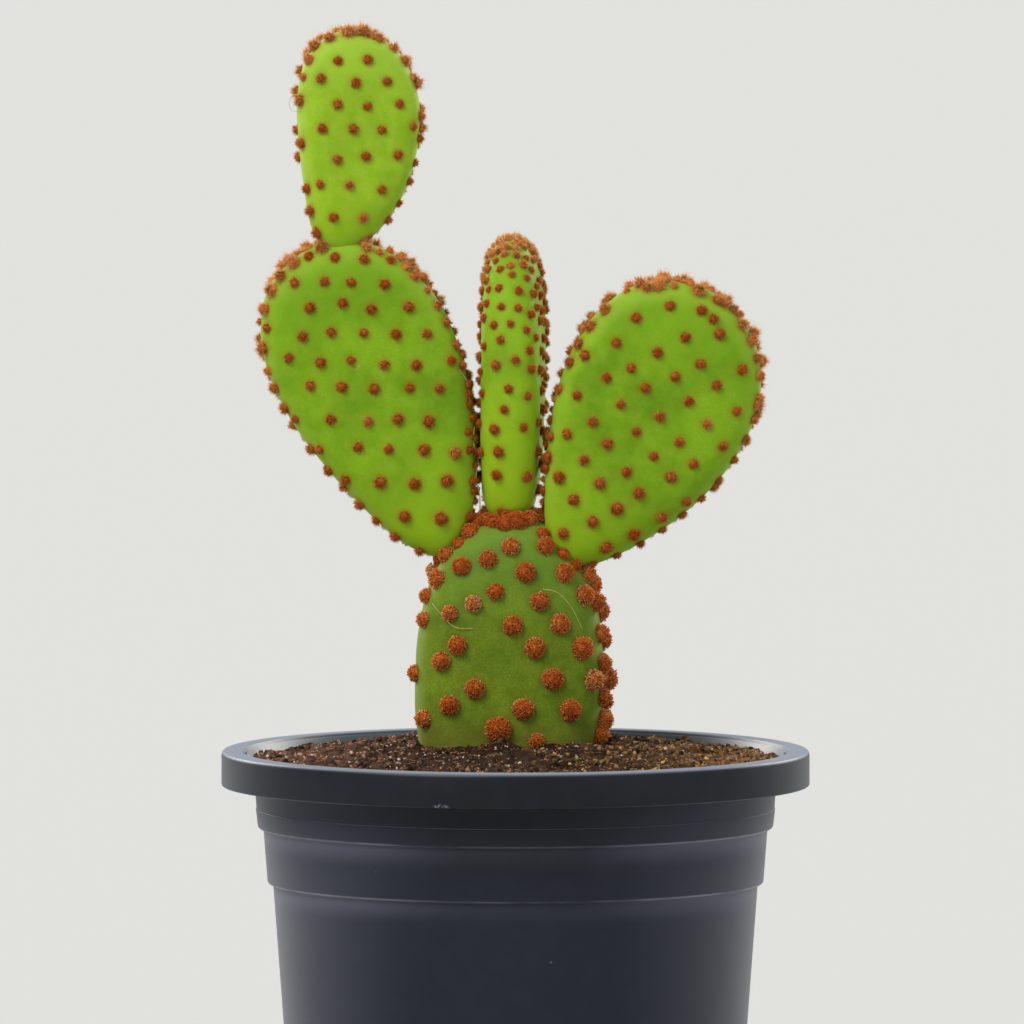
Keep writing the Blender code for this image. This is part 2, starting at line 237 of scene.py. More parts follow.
def scatter_copies(
    name: str, shape: Piece, placing: Placing, shade: Callable[[Array], Array], tone_width: float
) -> Piece:
    """Copies a modelled shape many times into one mesh, and removes the shape.

    Args:
        name: the new piece's name.
        shape: the modelled shape, round its own origin.
        placing: where the copies go.
        shade: gives each vertex of the shape its second pattern coordinate, from 0 to 1.
        tone_width: how much of the first pattern coordinate one copy covers.

    Returns:
        The new piece, with a pattern map that holds tone and shade.
    """
    points = read_points(shape)
    counts = np.array([len(face.vertices) for face in shape.data.polygons])
    corners = np.concatenate([list(face.vertices) for face in shape.data.polygons])
    starts = np.concatenate([[0], np.cumsum(counts)[:-1]])
    number = np.arange(len(placing.places))[:, None]
    moved = np.einsum("cij,vj->cvi", placing.turns, points) + placing.places[:, None, :]
    mesh = bpy.data.meshes.new(name)
    mesh.vertices.add(len(number) * len(points))
    mesh.vertices.foreach_set("co", moved.ravel())
    mesh.loops.add(len(number) * len(corners))
    mesh.loops.foreach_set("vertex_index", (corners + number * len(points)).ravel())
    mesh.polygons.add(len(number) * len(counts))
    mesh.polygons.foreach_set("loop_start", (starts + number * len(corners)).ravel())
    mesh.update(calc_edges=True)
    span = np.abs(points[:, 0]).max()
    across = placing.tones[:, None] + points[corners, 0][None, :] / span * tone_width / 2
    up = np.broadcast_to(shade(points)[corners][None, :], across.shape)
    pattern = mesh.uv_layers.new(name=BAKE_UV)
    pattern.data.foreach_set("uv", np.clip(np.stack([across, up], axis=-1), 0, 1).ravel())
    mesh.validate()
    bpy.data.objects.remove(shape, do_unlink=True)
    return in_scene(name, mesh)


def frames_along(directions: Array, random: Random) -> Array:
    """Turning matrices that carry +Z to each direction, each with a random spin.

    Args:
        directions: unit vectors as rows.
        random: the generator of the spins.

    Returns:
        A 3 x 3 matrix for each direction, with its axes in the columns.
    """
    helper = np.where(np.abs(directions[:, 2:3]) < 0.9, [[0.0, 0.0, 1.0]], [[1.0, 0.0, 0.0]])
    first = np.cross(helper, directions)
    first /= np.linalg.norm(first, axis=1, keepdims=True)
    second = np.cross(directions, first)
    spin = random.uniform(0, 2 * math.pi, len(directions))[:, None]
    turned = first * np.cos(spin) + second * np.sin(spin)
    return np.stack([turned, np.cross(directions, turned), directions], axis=-1)


# Laying out materials


class Graph:
    """Adds and joins the nodes of one material or node group."""

    def __init__(self, tree: bpy.types.NodeTree) -> None:
        """Works in one node tree."""
        self.tree = tree

    def add(self, kind: str, inputs: dict | None = None, **settings: object) -> bpy.types.Node:
        """Adds a node.

        Args:
            kind: the node's type, without its ShaderNode prefix.
            inputs: a value or another node's output for each socket, by name or number.
            settings: the node's own properties.

        Returns:
            The node.
        """
        node = self.tree.nodes.new(kind if kind.startswith("Node") else f"ShaderNode{kind}")
        for key, value in settings.items():
            setattr(node, key, value)
        for key, value in (inputs or {}).items():
            self.feed(node.inputs[key], value)
        return node

    def feed(self, socket: Socket, value: object) -> None:
        """Sets a socket, or links it.

        Args:
            socket: the input to feed.
            value: a number, a colour or vector, or another node's output.
        """
        if isinstance(value, Socket):
            self.tree.links.new(value, socket)
        elif isinstance(value, tuple) and len(value) == 3 and socket.type == "RGBA":
            socket.default_value = (*value, 1.0)
        else:
            socket.default_value = value

    def math(self, operation: str, *values: object) -> Socket:
        """The result of one arithmetic step on values or outputs."""
        return self.add("Math", dict(enumerate(values)), operation=operation).outputs[0]

    def times(self, one: object, other: object) -> Socket:
        """The product of two values or outputs."""
        return self.math("MULTIPLY", one, other)

    def larger(self, one: object, other: object) -> Socket:
        """The larger of two values or outputs."""
        return self.math("MAXIMUM", one, other)

    def ramp(self, value: Socket, low: object, high: object) -> Socket:
        """A soft step from 0 at low to 1 at high."""
        span = {"Value": value, "From Min": low, "From Max": high}
        return self.add("MapRange", span, interpolation_type="SMOOTHSTEP").outputs["Result"]

    def carried(self, value: Socket, **span: float) -> Socket:
        """A value carried straight from one span to another, both 0 to 1 unless named."""
        names = {key.replace("_", " ").title(): level for key, level in span.items()}
        return self.add("MapRange", {"Value": value, **names}).outputs["Result"]

    def mix(self, share: object, low: object, high: object) -> Socket:
        """A colour between two, by a share."""
        return self.add("Mix", {0: share, 6: low, 7: high}, data_type="RGBA").outputs[2]

    def tint(self, colour: object, mask: Socket, strength: float, other: object) -> Socket:
        """A colour with another laid over it, where a mask is and at some strength."""
        return self.mix(self.times(mask, strength), colour, other)

    def place(self) -> Socket:
        """The point on the piece, in metres."""
        return self.add("TexCoord").outputs["Object"]

    def part(self, vector: Socket, axis: str) -> Socket:
        """One of a vector's three numbers."""
        return self.add("SeparateXYZ", {"Vector": vector}).outputs[axis]

    def pattern(self, axis: str) -> Socket:
        """One of the two numbers of the pattern map: X is tone and Y is shade."""
        return self.part(self.add("UVMap", uv_map=BAKE_UV).outputs["UV"], axis)

    def attribute(self, name: str) -> Socket:
        """The number that the mesh stores under a name."""
        return self.add("Attribute", attribute_name=name).outputs["Fac"]

    def spot(self, place: Socket, middle: Colour, reach: float) -> Socket:
        """A soft round spot: 1 at its middle and 0 beyond its reach."""
        away = self.add("VectorMath", {0: place, 1: middle}, operation="DISTANCE")
        return self.ramp(away.outputs["Value"], reach, 0.0)

    def noise(self, place: Socket, scale: object, detail: object) -> Socket:
        """Cloudy noise round 0.5."""
        return self.add("TexNoise", {"Vector": place, "Scale": scale, "Detail": detail}).outputs[0]

    def bump(self, height: Socket, strength: float, distance: float) -> Socket:
        """The surface's normal, bent by a relief."""
        relief = {"Strength": strength, "Distance": distance, "Height": height}
        return self.add("Bump", relief).outputs["Normal"]

    def effect(self, group: bpy.types.NodeTree, place: Socket, **values: object) -> Socket:
        """The mask of a shared effect, with its own values for the inputs named in lower case."""
        inputs = {key.title(): value for key, value in values.items()}
        return self.add("Group", {"Vector": place, **inputs}, node_tree=group).outputs["Mask"]

    def mottle(self, place: Socket, **values: object) -> Socket:
        """Soft blotches, by scale, detail, low and high."""
        return self.effect(mottle_group(), place, **values)

    def specks(self, place: Socket, **values: object) -> Socket:
        """Scattered specks, by scale, share and size."""
        return self.effect(speck_group(), place, **values)

    def dust(self, place: Socket, **values: object) -> Socket:
        """Settled dusting, and on the pot a painted sky reflection, by scale, amount and upward."""
        return self.effect(dust_and_sheen_group(), place, **values)


class Surface(Graph):
    """One material in the making, with its Principled BSDF."""

    def __init__(self, name: str) -> None:
        """Starts an empty material."""
        self.material = bpy.data.materials.new(name)
        self.material.use_nodes = True
        super().__init__(self.material.node_tree)

    def finished(self, **values: object) -> bpy.types.Material:
        """Feeds the shader.

        Args:
            values: what each socket gets, by its name with underscores for spaces.

        Returns:
            The material.
        """
        shader = self.tree.nodes["Principled BSDF"]
        for key, value in values.items():
            self.feed(shader.inputs[key.replace("_", " ")], value)
        return self.material


def new_group(name: str, **inputs: float) -> tuple[Graph, bpy.types.bpy_prop_collection]:
    """Starts a shared effect with a Vector input, number inputs and one Mask output.

    Args:
        name: the group's name.
        inputs: the start value of each number input.

    Returns:
        The group's graph, still empty inside, and its inputs.
    """
    group = bpy.data.node_groups.new(name, "ShaderNodeTree")
    group.interface.new_socket("Vector", in_out="INPUT", socket_type="NodeSocketVector")
    for key, value in inputs.items():
        socket = group.interface.new_socket(key, in_out="INPUT", socket_type="NodeSocketFloat")
        socket.default_value = value
    group.interface.new_socket("Mask", in_out="OUTPUT", socket_type="NodeSocketFloat")
    graph = Graph(group)
    return graph, graph.add("NodeGroupInput").outputs


@cache
def mottle_group() -> bpy.types.NodeTree:
    """Soft blotches: cloudy noise with its contrast turned up.

    Returns:
        The node group.
    """
    graph, given = new_group("mottle", Scale=100.0, Detail=3.0, Low=0.35, High=0.65)
    cloud = graph.noise(given["Vector"], given["Scale"], given["Detail"])
    graph.add("NodeGroupOutput", {"Mask": graph.ramp(cloud, given["Low"], given["High"])})
    return graph.tree


@cache
def speck_group() -> bpy.types.NodeTree:
    """Scattered small specks: the middles of a share of random cells.

    Returns:
        The node group.
    """
    graph, given = new_group("specks", Scale=400.0, Share=0.1, Size=0.3)
    cells = graph.add("TexVoronoi", {"Vector": given["Vector"], "Scale": given["Scale"]})
    parts = graph.add("SeparateColor", {"Color": cells.outputs["Color"]})
    chosen = graph.math("LESS_THAN", parts.outputs[0], given["Share"])
    reach = graph.times(given["Size"], graph.math("ADD", parts.outputs[1], 0.5))
    near = graph.ramp(cells.outputs["Distance"], reach, graph.times(reach, 0.4))
    graph.add("NodeGroupOutput", {"Mask": graph.times(chosen, near)})
    return graph.tree


@cache
def dust_and_sheen_group() -> bpy.types.NodeTree:
    """Settled dusting, and on the pot a painted sky reflection: patchy, and thicker where the surface looks
    up.

    Returns:
        The node group.
    """
    graph, given = new_group("dust", Scale=60.0, Amount=0.5, Upward=0.5)
    up = graph.part(graph.add("NewGeometry").outputs["Normal"], "Z")
    lie = graph.times(graph.ramp(up, 0.25, 1.0), given["Upward"])
    patch = graph.ramp(graph.noise(given["Vector"], given["Scale"], 5.0), 0.35, 0.75)
    level = graph.times(graph.math("ADD", patch, lie), given["Amount"])
    graph.add("NodeGroupOutput", {"Mask": level})
    return graph.tree


@dataclass(frozen=True)
class PlasticFinish:
    """Satin plastic of the pot: darker at the lip as painted shade and lighter lower down, with painted
    sheen at the left and right and a painted highlight under each ledge.

    Attributes:
        name: the material's name.
        shaded: colour of the lip and of the wall just below it, darker as painted shade.
        lower_wall: colour of the lower wall, below the painted shade.
        lower_side_sheen: its colour at the left and right, a painted sheen.
        side_sheen_span: how far to the left or right that painted sheen starts, and where it is full.
        ledge_highlight: the paler colour painted under each ledge as a highlight.
        sides: colour of the lip and the wall just below it at the left and right, a painted sheen.
        wear_and_highlight: colour of the mould and ledge lines, the specks and the scuff; the ledge lines
            are partly painted highlight.
        wear_and_highlight_lines: height and strength of each line: a mould line at the skirt's foot, and at
            each ledge a wear line brightened as a painted highlight.
        line_width: half the width of a line.
        ledge_heights: height of each ledge, from the top down.
        highlight_fall: how far the painted highlight reaches below a ledge.
        dust: colour painted on what looks up: a painted sky reflection, with a trace of patchy dusting.
        sheen_sides: how far to the left or right the painted sheen starts, and where it is full.
        scuff: middle of the scuff on the lip.
        scuff_size: half the height of the scuff.
        scuff_slim: its height as a share of its length.
    """

    name: str
    shaded: Colour
    lower_wall: Colour
    lower_side_sheen: Colour
    side_sheen_span: tuple[float, float]
    ledge_highlight: Colour
    sides: Colour
    wear_and_highlight: Colour
    wear_and_highlight_lines: tuple[tuple[float, float], ...]
    line_width: float
    ledge_heights: tuple[float, ...]
    highlight_fall: float
    dust: Colour
    sheen_sides: tuple[float, float]
    scuff: tuple[float, float, float]
    scuff_size: float
    scuff_slim: float

    def side_sheen_mask(self, graph: Graph, place: Socket, least: float) -> Socket:
        """Painted sheen round the pot: a least share in the middle, and full at both sides."""
        side = graph.ramp(graph.math("ABSOLUTE", graph.part(place, "X")), *self.sheen_sides)
        return graph.math("MULTIPLY_ADD", side, 1.0 - least, least)

    def line_mask(self, graph: Graph, place: Socket) -> Socket:
        """Thin broken lines round the pot: a mould line at the skirt's foot, and wear lines at the ledges
        brightened as painted highlights, stronger at the sides.

        Args:
            graph: the material's nodes.
            place: the point on the pot.

        Returns:
            1 on the middle of a line at full strength, and 0 off the lines.
        """
        height = graph.part(place, "Z")
        total: object = 0.0
        for line, strength in self.wear_and_highlight_lines:
            off = graph.math("ABSOLUTE", graph.math("SUBTRACT", height, line))
            near = graph.ramp(off, self.line_width, self.line_width * 0.3)
            total = graph.larger(graph.times(near, strength), total)
        broken = graph.mottle(place, scale=90.0, detail=4.0, low=0.22, high=0.60)
        return graph.times(graph.times(total, self.side_sheen_mask(graph, place, 0.30)), broken)

    def scuff_mask(self, graph: Graph, place: Socket) -> Socket:
        """The short pale scuff on the lip's lower edge.

        Args:
            graph: the material's nodes.
            place: the point on the pot.

        Returns:
            1 in the scuff and 0 elsewhere.
        """
        narrow = (self.scuff_slim, 1.0, 1.0)
        slim = graph.add("VectorMath", {0: place, 1: narrow}, operation="MULTIPLY").outputs["Vector"]
        x, y, z = self.scuff
        near = graph.spot(slim, (x * self.scuff_slim, y, z), self.scuff_size)
        return graph.times(near, graph.mottle(place, scale=1500.0, detail=3.0, low=0.34, high=0.60))

    def ledge_highlight_mask(self, graph: Graph, place: Socket) -> Socket:
        """A painted highlight just below each ledge.

        Args:
            graph: the material's nodes.
            place: the point on the pot.

        Returns:
            A mask that fades downwards and is uneven round the pot.
        """
        height = graph.part(place, "Z")
        total: object = 0.0
        for ledge in self.ledge_heights:
            fading = graph.ramp(height, ledge - self.highlight_fall, ledge)
            below = graph.math("LESS_THAN", height, ledge)
            total = graph.larger(graph.times(fading, below), total)
        uneven = graph.mottle(place, scale=22.0, detail=2.0, low=0.1, high=0.7)
        total = graph.times(total, self.side_sheen_mask(graph, place, 0.17))
        return graph.times(total, graph.math("MULTIPLY_ADD", uneven, 0.3, 0.6))

    def upper_side_sheen(self, graph: Graph, place: Socket) -> Socket:
        """Painted sheen: the paler left and right of the upper wall, and a little of them on the lip."""
        foot = self.wear_and_highlight_lines[0][0]
        lip = {"from_min": foot, "from_max": foot + 0.0003, "to_min": 1.0, "to_max": 0.15}
        side = graph.math("MULTIPLY_ADD", self.side_sheen_mask(graph, place, 0.0), 0.9, 0.1)
        return graph.times(side, graph.carried(graph.part(place, "Z"), **lip))

    @cache
    def material(self) -> bpy.types.Material:
        """Builds the plastic.

        Returns:
            The material.
        """
        graph = Surface(self.name)
        place = graph.place()
        height = graph.part(place, "Z")
        # Painted shade: the lip and the wall under it are darker, giving way to the lower wall's colour
        # further down.
        below_shade = graph.ramp(height, self.ledge_heights[0], self.ledge_heights[-1] - self.highlight_fall)
        # Painted sheen at the left and right of the lip and the upper wall.
        colour = graph.mix(self.upper_side_sheen(graph, place), self.shaded, self.sides)
        across = graph.math("ABSOLUTE", graph.part(place, "X"))
        # Painted sheen at the left and right of the lower wall.
        lower_wall = graph.mix(graph.ramp(across, *self.side_sheen_span), self.lower_wall, self.lower_side_sheen)
        colour = graph.mix(below_shade, colour, lower_wall)
        # Painted highlight under each ledge.
        colour = graph.mix(self.ledge_highlight_mask(graph, place), colour, self.ledge_highlight)
        specks = graph.times(graph.specks(place, scale=260.0, share=0.03, size=0.10), 0.25)
        # Painted sky reflection on what looks up, with a trace of patchy dusting.
        dust = graph.dust(place, scale=220.0, amount=0.006, upward=100.0)
        colour = graph.mix(dust, colour, self.dust)
        # The specks and scuff are wear; the ledge lines are wear brightened as painted highlight.
        pale = graph.larger(specks, self.line_mask(graph, place))
        colour = graph.mix(graph.larger(pale, self.scuff_mask(graph, place)), colour, self.wear_and_highlight)
        grain = graph.noise(place, 2200.0, 2.0)
        return graph.finished(
            Base_Color=colour,
            Roughness=graph.carried(grain, to_min=0.38, to_max=0.46),
            Normal=graph.bump(grain, strength=0.05, distance=0.0001),
            Specular_IOR_Level=0.20,
            Sheen_Weight=0.09,
            Sheen_Roughness=0.40,
            Sheen_Tint=(0.86, 0.90, 1.0, 1.0),
        )


@dataclass(frozen=True)
class SkinFinish:
    """Velvety pad skin: mottled green, darker round each tuft, and paler at the rim as a painted backlight
    glow.
    """

    name: str
    deep: Colour
    fresh: Colour
    pale: Colour
    halo: Colour
    foot: Colour
    crown: Colour
    scar: Colour
    grain_scale: float
    grain_share: float
    dust: float
    sheen: float
    # Share of the pale colour painted over the rim, as a backlight glow.
    rim_share: float
    hair_share: float = 0.12
    weave_share: float = 0.18
    thread_share: float = 0.22
    foot_span: tuple[float, float] = (0.45, 0.05)
    scar_spots: tuple[tuple[float, float, float], ...] = ()
    scar_reach: float = 0.0022

    def scar_mask(self, graph: Graph, place: Socket) -> Socket:
        """Small corky dots: a few all over, and a cluster of them at each named spot.

        Args:
            graph: the material's nodes.
            place: the point on the pad.

        Returns:
            1 in a dot and 0 elsewhere.
        """
        dots = graph.specks(place, scale=330.0, share=0.03, size=0.20)
        total = graph.times(dots, graph.mottle(place, scale=60.0, detail=1.0, low=0.54, high=0.62))
        if self.scar_spots:
            crowded = graph.specks(place, scale=1500.0, share=0.55, size=0.5)
            for spot in self.scar_spots:
                near = graph.spot(place, spot, self.scar_reach)
                total = graph.larger(total, graph.times(crowded, near))
        return total

    @cache
    def material(self) -> bpy.types.Material:
        """Builds the skin.

        Returns:
            The material, which reads the attributes near_tuft, toward_tip and toward_rim.
        """
        graph = Surface(self.name)
        place = graph.place()
        broad = graph.mottle(place, scale=75.0, detail=3.0, low=0.32, high=0.68)
        fine = graph.mottle(place, scale=420.0, detail=4.0, low=0.3, high=0.7)
        thread = graph.mottle(place, scale=2000.0, detail=2.0, low=0.38, high=0.62)
        tip = graph.attribute("toward_tip")
        rim = graph.ramp(graph.attribute("toward_rim"), 0.82, 1.0)
        colour = graph.mix(broad, self.deep, self.fresh)
        colour = graph.tint(colour, fine, self.weave_share, self.pale)
        colour = graph.tint(colour, thread, self.thread_share, self.deep)
        colour = graph.tint(colour, graph.ramp(tip, 0.62, 1.0), 0.8, self.crown)
        # Painted backlight glow: the pale colour laid over the rim.
        colour = graph.tint(colour, rim, self.rim_share, self.pale)
        colour = graph.tint(colour, graph.ramp(tip, *self.foot_span), 0.6, self.foot)
        colour = graph.tint(colour, graph.attribute("near_tuft"), 0.85, self.halo)
        colour = graph.mix(self.scar_mask(graph, place), colour, self.scar)
        hairs = graph.specks(place, scale=self.grain_scale, share=self.grain_share, size=0.4)
        dust = graph.dust(place, scale=300.0, amount=self.dust, upward=0.3)
        dusty = graph.larger(dust, graph.times(hairs, self.hair_share))
        height = graph.math("ADD", graph.noise(place, 1500.0, 3.0), graph.times(hairs, 0.8))
        return graph.finished(
            Base_Color=graph.mix(dusty, colour, self.scar),
            Roughness=graph.carried(fine, to_min=0.52, to_max=0.68),
            Normal=graph.bump(height, strength=0.25, distance=0.0002),
            Subsurface_Weight=0.10,
            Subsurface_Radius=(0.6, 1.0, 0.20),
            Subsurface_Scale=0.002,
            Specular_IOR_Level=0.12,
            Sheen_Weight=self.sheen,
            Sheen_Roughness=0.35,
            Sheen_Tint=(0.92, 1.0, 0.28, 1.0),
        )


@dataclass(frozen=True)
class BristleFinish:
    """Rust-brown bristles: dark at the root, orange along the shaft, pale at the tip.

    The dense middles of the tufts carry fine relief and specks, which stand for bristle ends, with painted
    shade in the hollows between them.
    """

    name: str
    root: Colour
    shaft: Colour
    light_shaft: Colour
    tip: Colour
    tip_start: float
    pale_tones: tuple[float, float]
    end_share: float
    # Colour of the painted shade between the bristle ends.
    gap: Colour
    gap_shade_share: float

    @cache
    def material(self) -> bpy.types.Material:
        """Builds the bristle material.

        Returns:
            The material, which reads tone and length from the pattern map.
        """
        graph = Surface(self.name)
        place = graph.place()
        tone = graph.pattern("X")
        along = graph.pattern("Y")
        shaft = graph.mix(tone, self.shaft, self.light_shaft)
        colour = graph.mix(graph.ramp(along, 0.02, 0.22), self.root, shaft)
        pale = graph.ramp(tone, *self.pale_tones)
        tipped = graph.times(graph.ramp(along, self.tip_start, 1.0), pale)
        colour = graph.mix(tipped, colour, self.tip)
        ends = graph.specks(place, scale=2600.0, share=0.35, size=0.34)
        colour = graph.tint(colour, ends, self.end_share, self.tip)
        wool = graph.noise(place, 2300.0, 2.0)
        relief = graph.math("ADD", wool, graph.times(ends, 0.5))
        return graph.finished(
            # Painted shade: the gap colour laid into the hollows of the fine relief.
            Base_Color=graph.tint(colour, graph.ramp(wool, 0.50, 0.34), self.gap_shade_share, self.gap),
            Normal=graph.bump(relief, strength=0.8, distance=0.0003),
            Roughness=0.6,
            Subsurface_Weight=0.35,
            Subsurface_Radius=(1.0, 0.45, 0.20),
            Subsurface_Scale=0.0006,
            Specular_IOR_Level=0.06,
            Sheen_Weight=0.15,
            Sheen_Roughness=0.35,
            Sheen_Tint=(1.0, 0.58, 0.16, 1.0),
        )


@dataclass(frozen=True)
class SoilFinish:
    """Dry peat bed: dark in the middle, tan on one side and reddish on the other."""

    name: str
    dark: Colour
    red: Colour
    tan: Colour
    grit: Colour

    @cache
    def material(self) -> bpy.types.Material:
        """Builds the peat.

        Returns:
            The material.
        """
        graph = Surface(self.name)
        place = graph.place()
        side = graph.part(place, "X")
        lumps = graph.mottle(place, scale=420.0, detail=5.0, low=0.3, high=0.72)
        patch = graph.mottle(place, scale=80.0, detail=3.0, low=0.3, high=0.7)
        light = graph.mix(graph.ramp(side, -0.02, 0.02), self.red, self.tan)
        edge = graph.ramp(graph.math("ABSOLUTE", side), 0.008, 0.05)
        share = graph.times(lumps, graph.larger(edge, graph.times(patch, 0.4)))
        colour = graph.mix(share, self.dark, light)
        grit = graph.specks(place, scale=900.0, share=0.03, size=0.35)
        cells = graph.add("TexVoronoi", {"Vector": place, "Scale": 1100.0}).outputs["Distance"]
        height = graph.math("SUBTRACT", lumps, graph.times(cells, 0.6))
        return graph.finished(
            Base_Color=graph.tint(colour, grit, 0.6, self.grit),
            Roughness=0.95,
            Specular_IOR_Level=0.08,
            Normal=graph.bump(height, strength=0.9, distance=0.0006),
        )


@dataclass(frozen=True)
class CrumbFinish:
    """Loose crumbs: a run of colours, one tone for each crumb, darker underneath as painted shade."""

    name: str
    colours: tuple[Colour, ...]
    roughness: float

    @cache
    def material(self) -> bpy.types.Material:
        """Builds the crumb material.

        Returns:
            The material, which reads tone and height from the pattern map.
        """
        graph = Surface(self.name)
        tones = graph.add("ValToRGB", {"Fac": graph.pattern("X")})
        stops = tones.color_ramp.elements
        while len(stops) < len(self.colours):
            stops.new(1.0)
        for index, colour in enumerate(self.colours):
            stops[index].position = index / (len(self.colours) - 1)
            stops[index].color = (*colour, 1.0)
        tone = tones.outputs["Color"]
        # Painted shade: each crumb darker towards its underside.
        under = graph.mix(0.75, tone, (0.0, 0.0, 0.0))
        colour = graph.mix(graph.ramp(graph.pattern("Y"), 0.2, 0.8), under, tone)
        return graph.finished(Base_Color=colour, Roughness=self.roughness, Specular_IOR_Level=0.10)


@dataclass(frozen=True)
class HairFinish:
    """Pale dry plant hair."""

    name: str
    pale: Colour
    warm: Colour

    @cache
    def material(self) -> bpy.types.Material:
        """Builds the hair's material."""
        graph = Surface(self.name)
        patch = graph.mottle(graph.place(), scale=500.0, detail=2.0, low=0.35, high=0.65)
        colour = graph.mix(patch, self.warm, self.pale)
        return graph.finished(Base_Color=colour, Roughness=0.55, Specular_IOR_Level=0.3)


@dataclass(frozen=True)
class FloorFinish:
    """Plain pale matte floor."""

    name: str
    colour: Colour

    def material(self) -> bpy.types.Material:
        """Builds the floor's material."""
        surface = Surface(self.name)
        return surface.finished(Base_Color=self.colour, Roughness=0.8, Specular_IOR_Level=0.2)


# Pot


@dataclass(frozen=True)
class Corner:
    """One corner of a turned outline: its radius, its height and how far it is rounded."""

    radius: float
    height: float
    rounding: float = 0.0


def rounded_outline(corners: list[Corner], steps: int) -> list[tuple[float, float]]:
    """Replaces each corner by an arc.

    Args:
        corners: the outline, from its first ring to its last.
        steps: points less one in each arc.

    Returns:
        Pairs of radius and height.
    """
    outline = [(corners[0].radius, corners[0].height)]
    for before, corner, after in zip(corners, corners[1:], corners[2:]):
        here = np.array([corner.radius, corner.height])
        back = np.array([before.radius, before.height]) - here
        onward = np.array([after.radius, after.height]) - here
        if corner.rounding == 0.0:
            outline.append((corner.radius, corner.height))
            continue
        reach = min(corner.rounding, 0.45 * np.hypot(*back), 0.45 * np.hypot(*onward))
        start = here + back / np.hypot(*back) * reach
        end = here + onward / np.hypot(*onward) * reach
        for share in np.linspace(0.0, 1.0, steps + 1):
            bend = start * (1 - share) ** 2 + here * 2 * share * (1 - share) + end * share**2
            outline.append((float(bend[0]), float(bend[1])))
    outline.append((corners[-1].radius, corners[-1].height))
    return outline


def turn_solid(name: str, outline: list[tuple[float, float]], sides: int) -> Piece:
    """Draws a closed turned solid ring by ring, from a filled disc to a filled disc.

    Args:
        name: the piece's name.
        outline: radius and height of each ring.
        sides: vertices in a ring.

    Returns:
        The solid, with its faces outward.
    """
    first_radius, first_height = outline[0]
    piece = new_piece(
        name,
        bpy.ops.mesh.primitive_circle_add,
        vertices=sides,
        radius=first_radius,
        fill_type="NGON",
        location=(0, 0, first_height),
    )
    with edit_mode(piece):
        for (radius, height), (next_radius, next_height) in zip(outline, outline[1:]):
            bpy.ops.mesh.extrude_edges_move(
                TRANSFORM_OT_translate={"value": (0.0, 0.0, next_height - height)}
            )
            growth = next_radius / radius
            bpy.ops.transform.resize(value=(growth, growth, 1.0), center_override=(0.0, 0.0, 0.0))
        bpy.ops.mesh.edge_face_add()
    outward_normals(piece)
    return piece


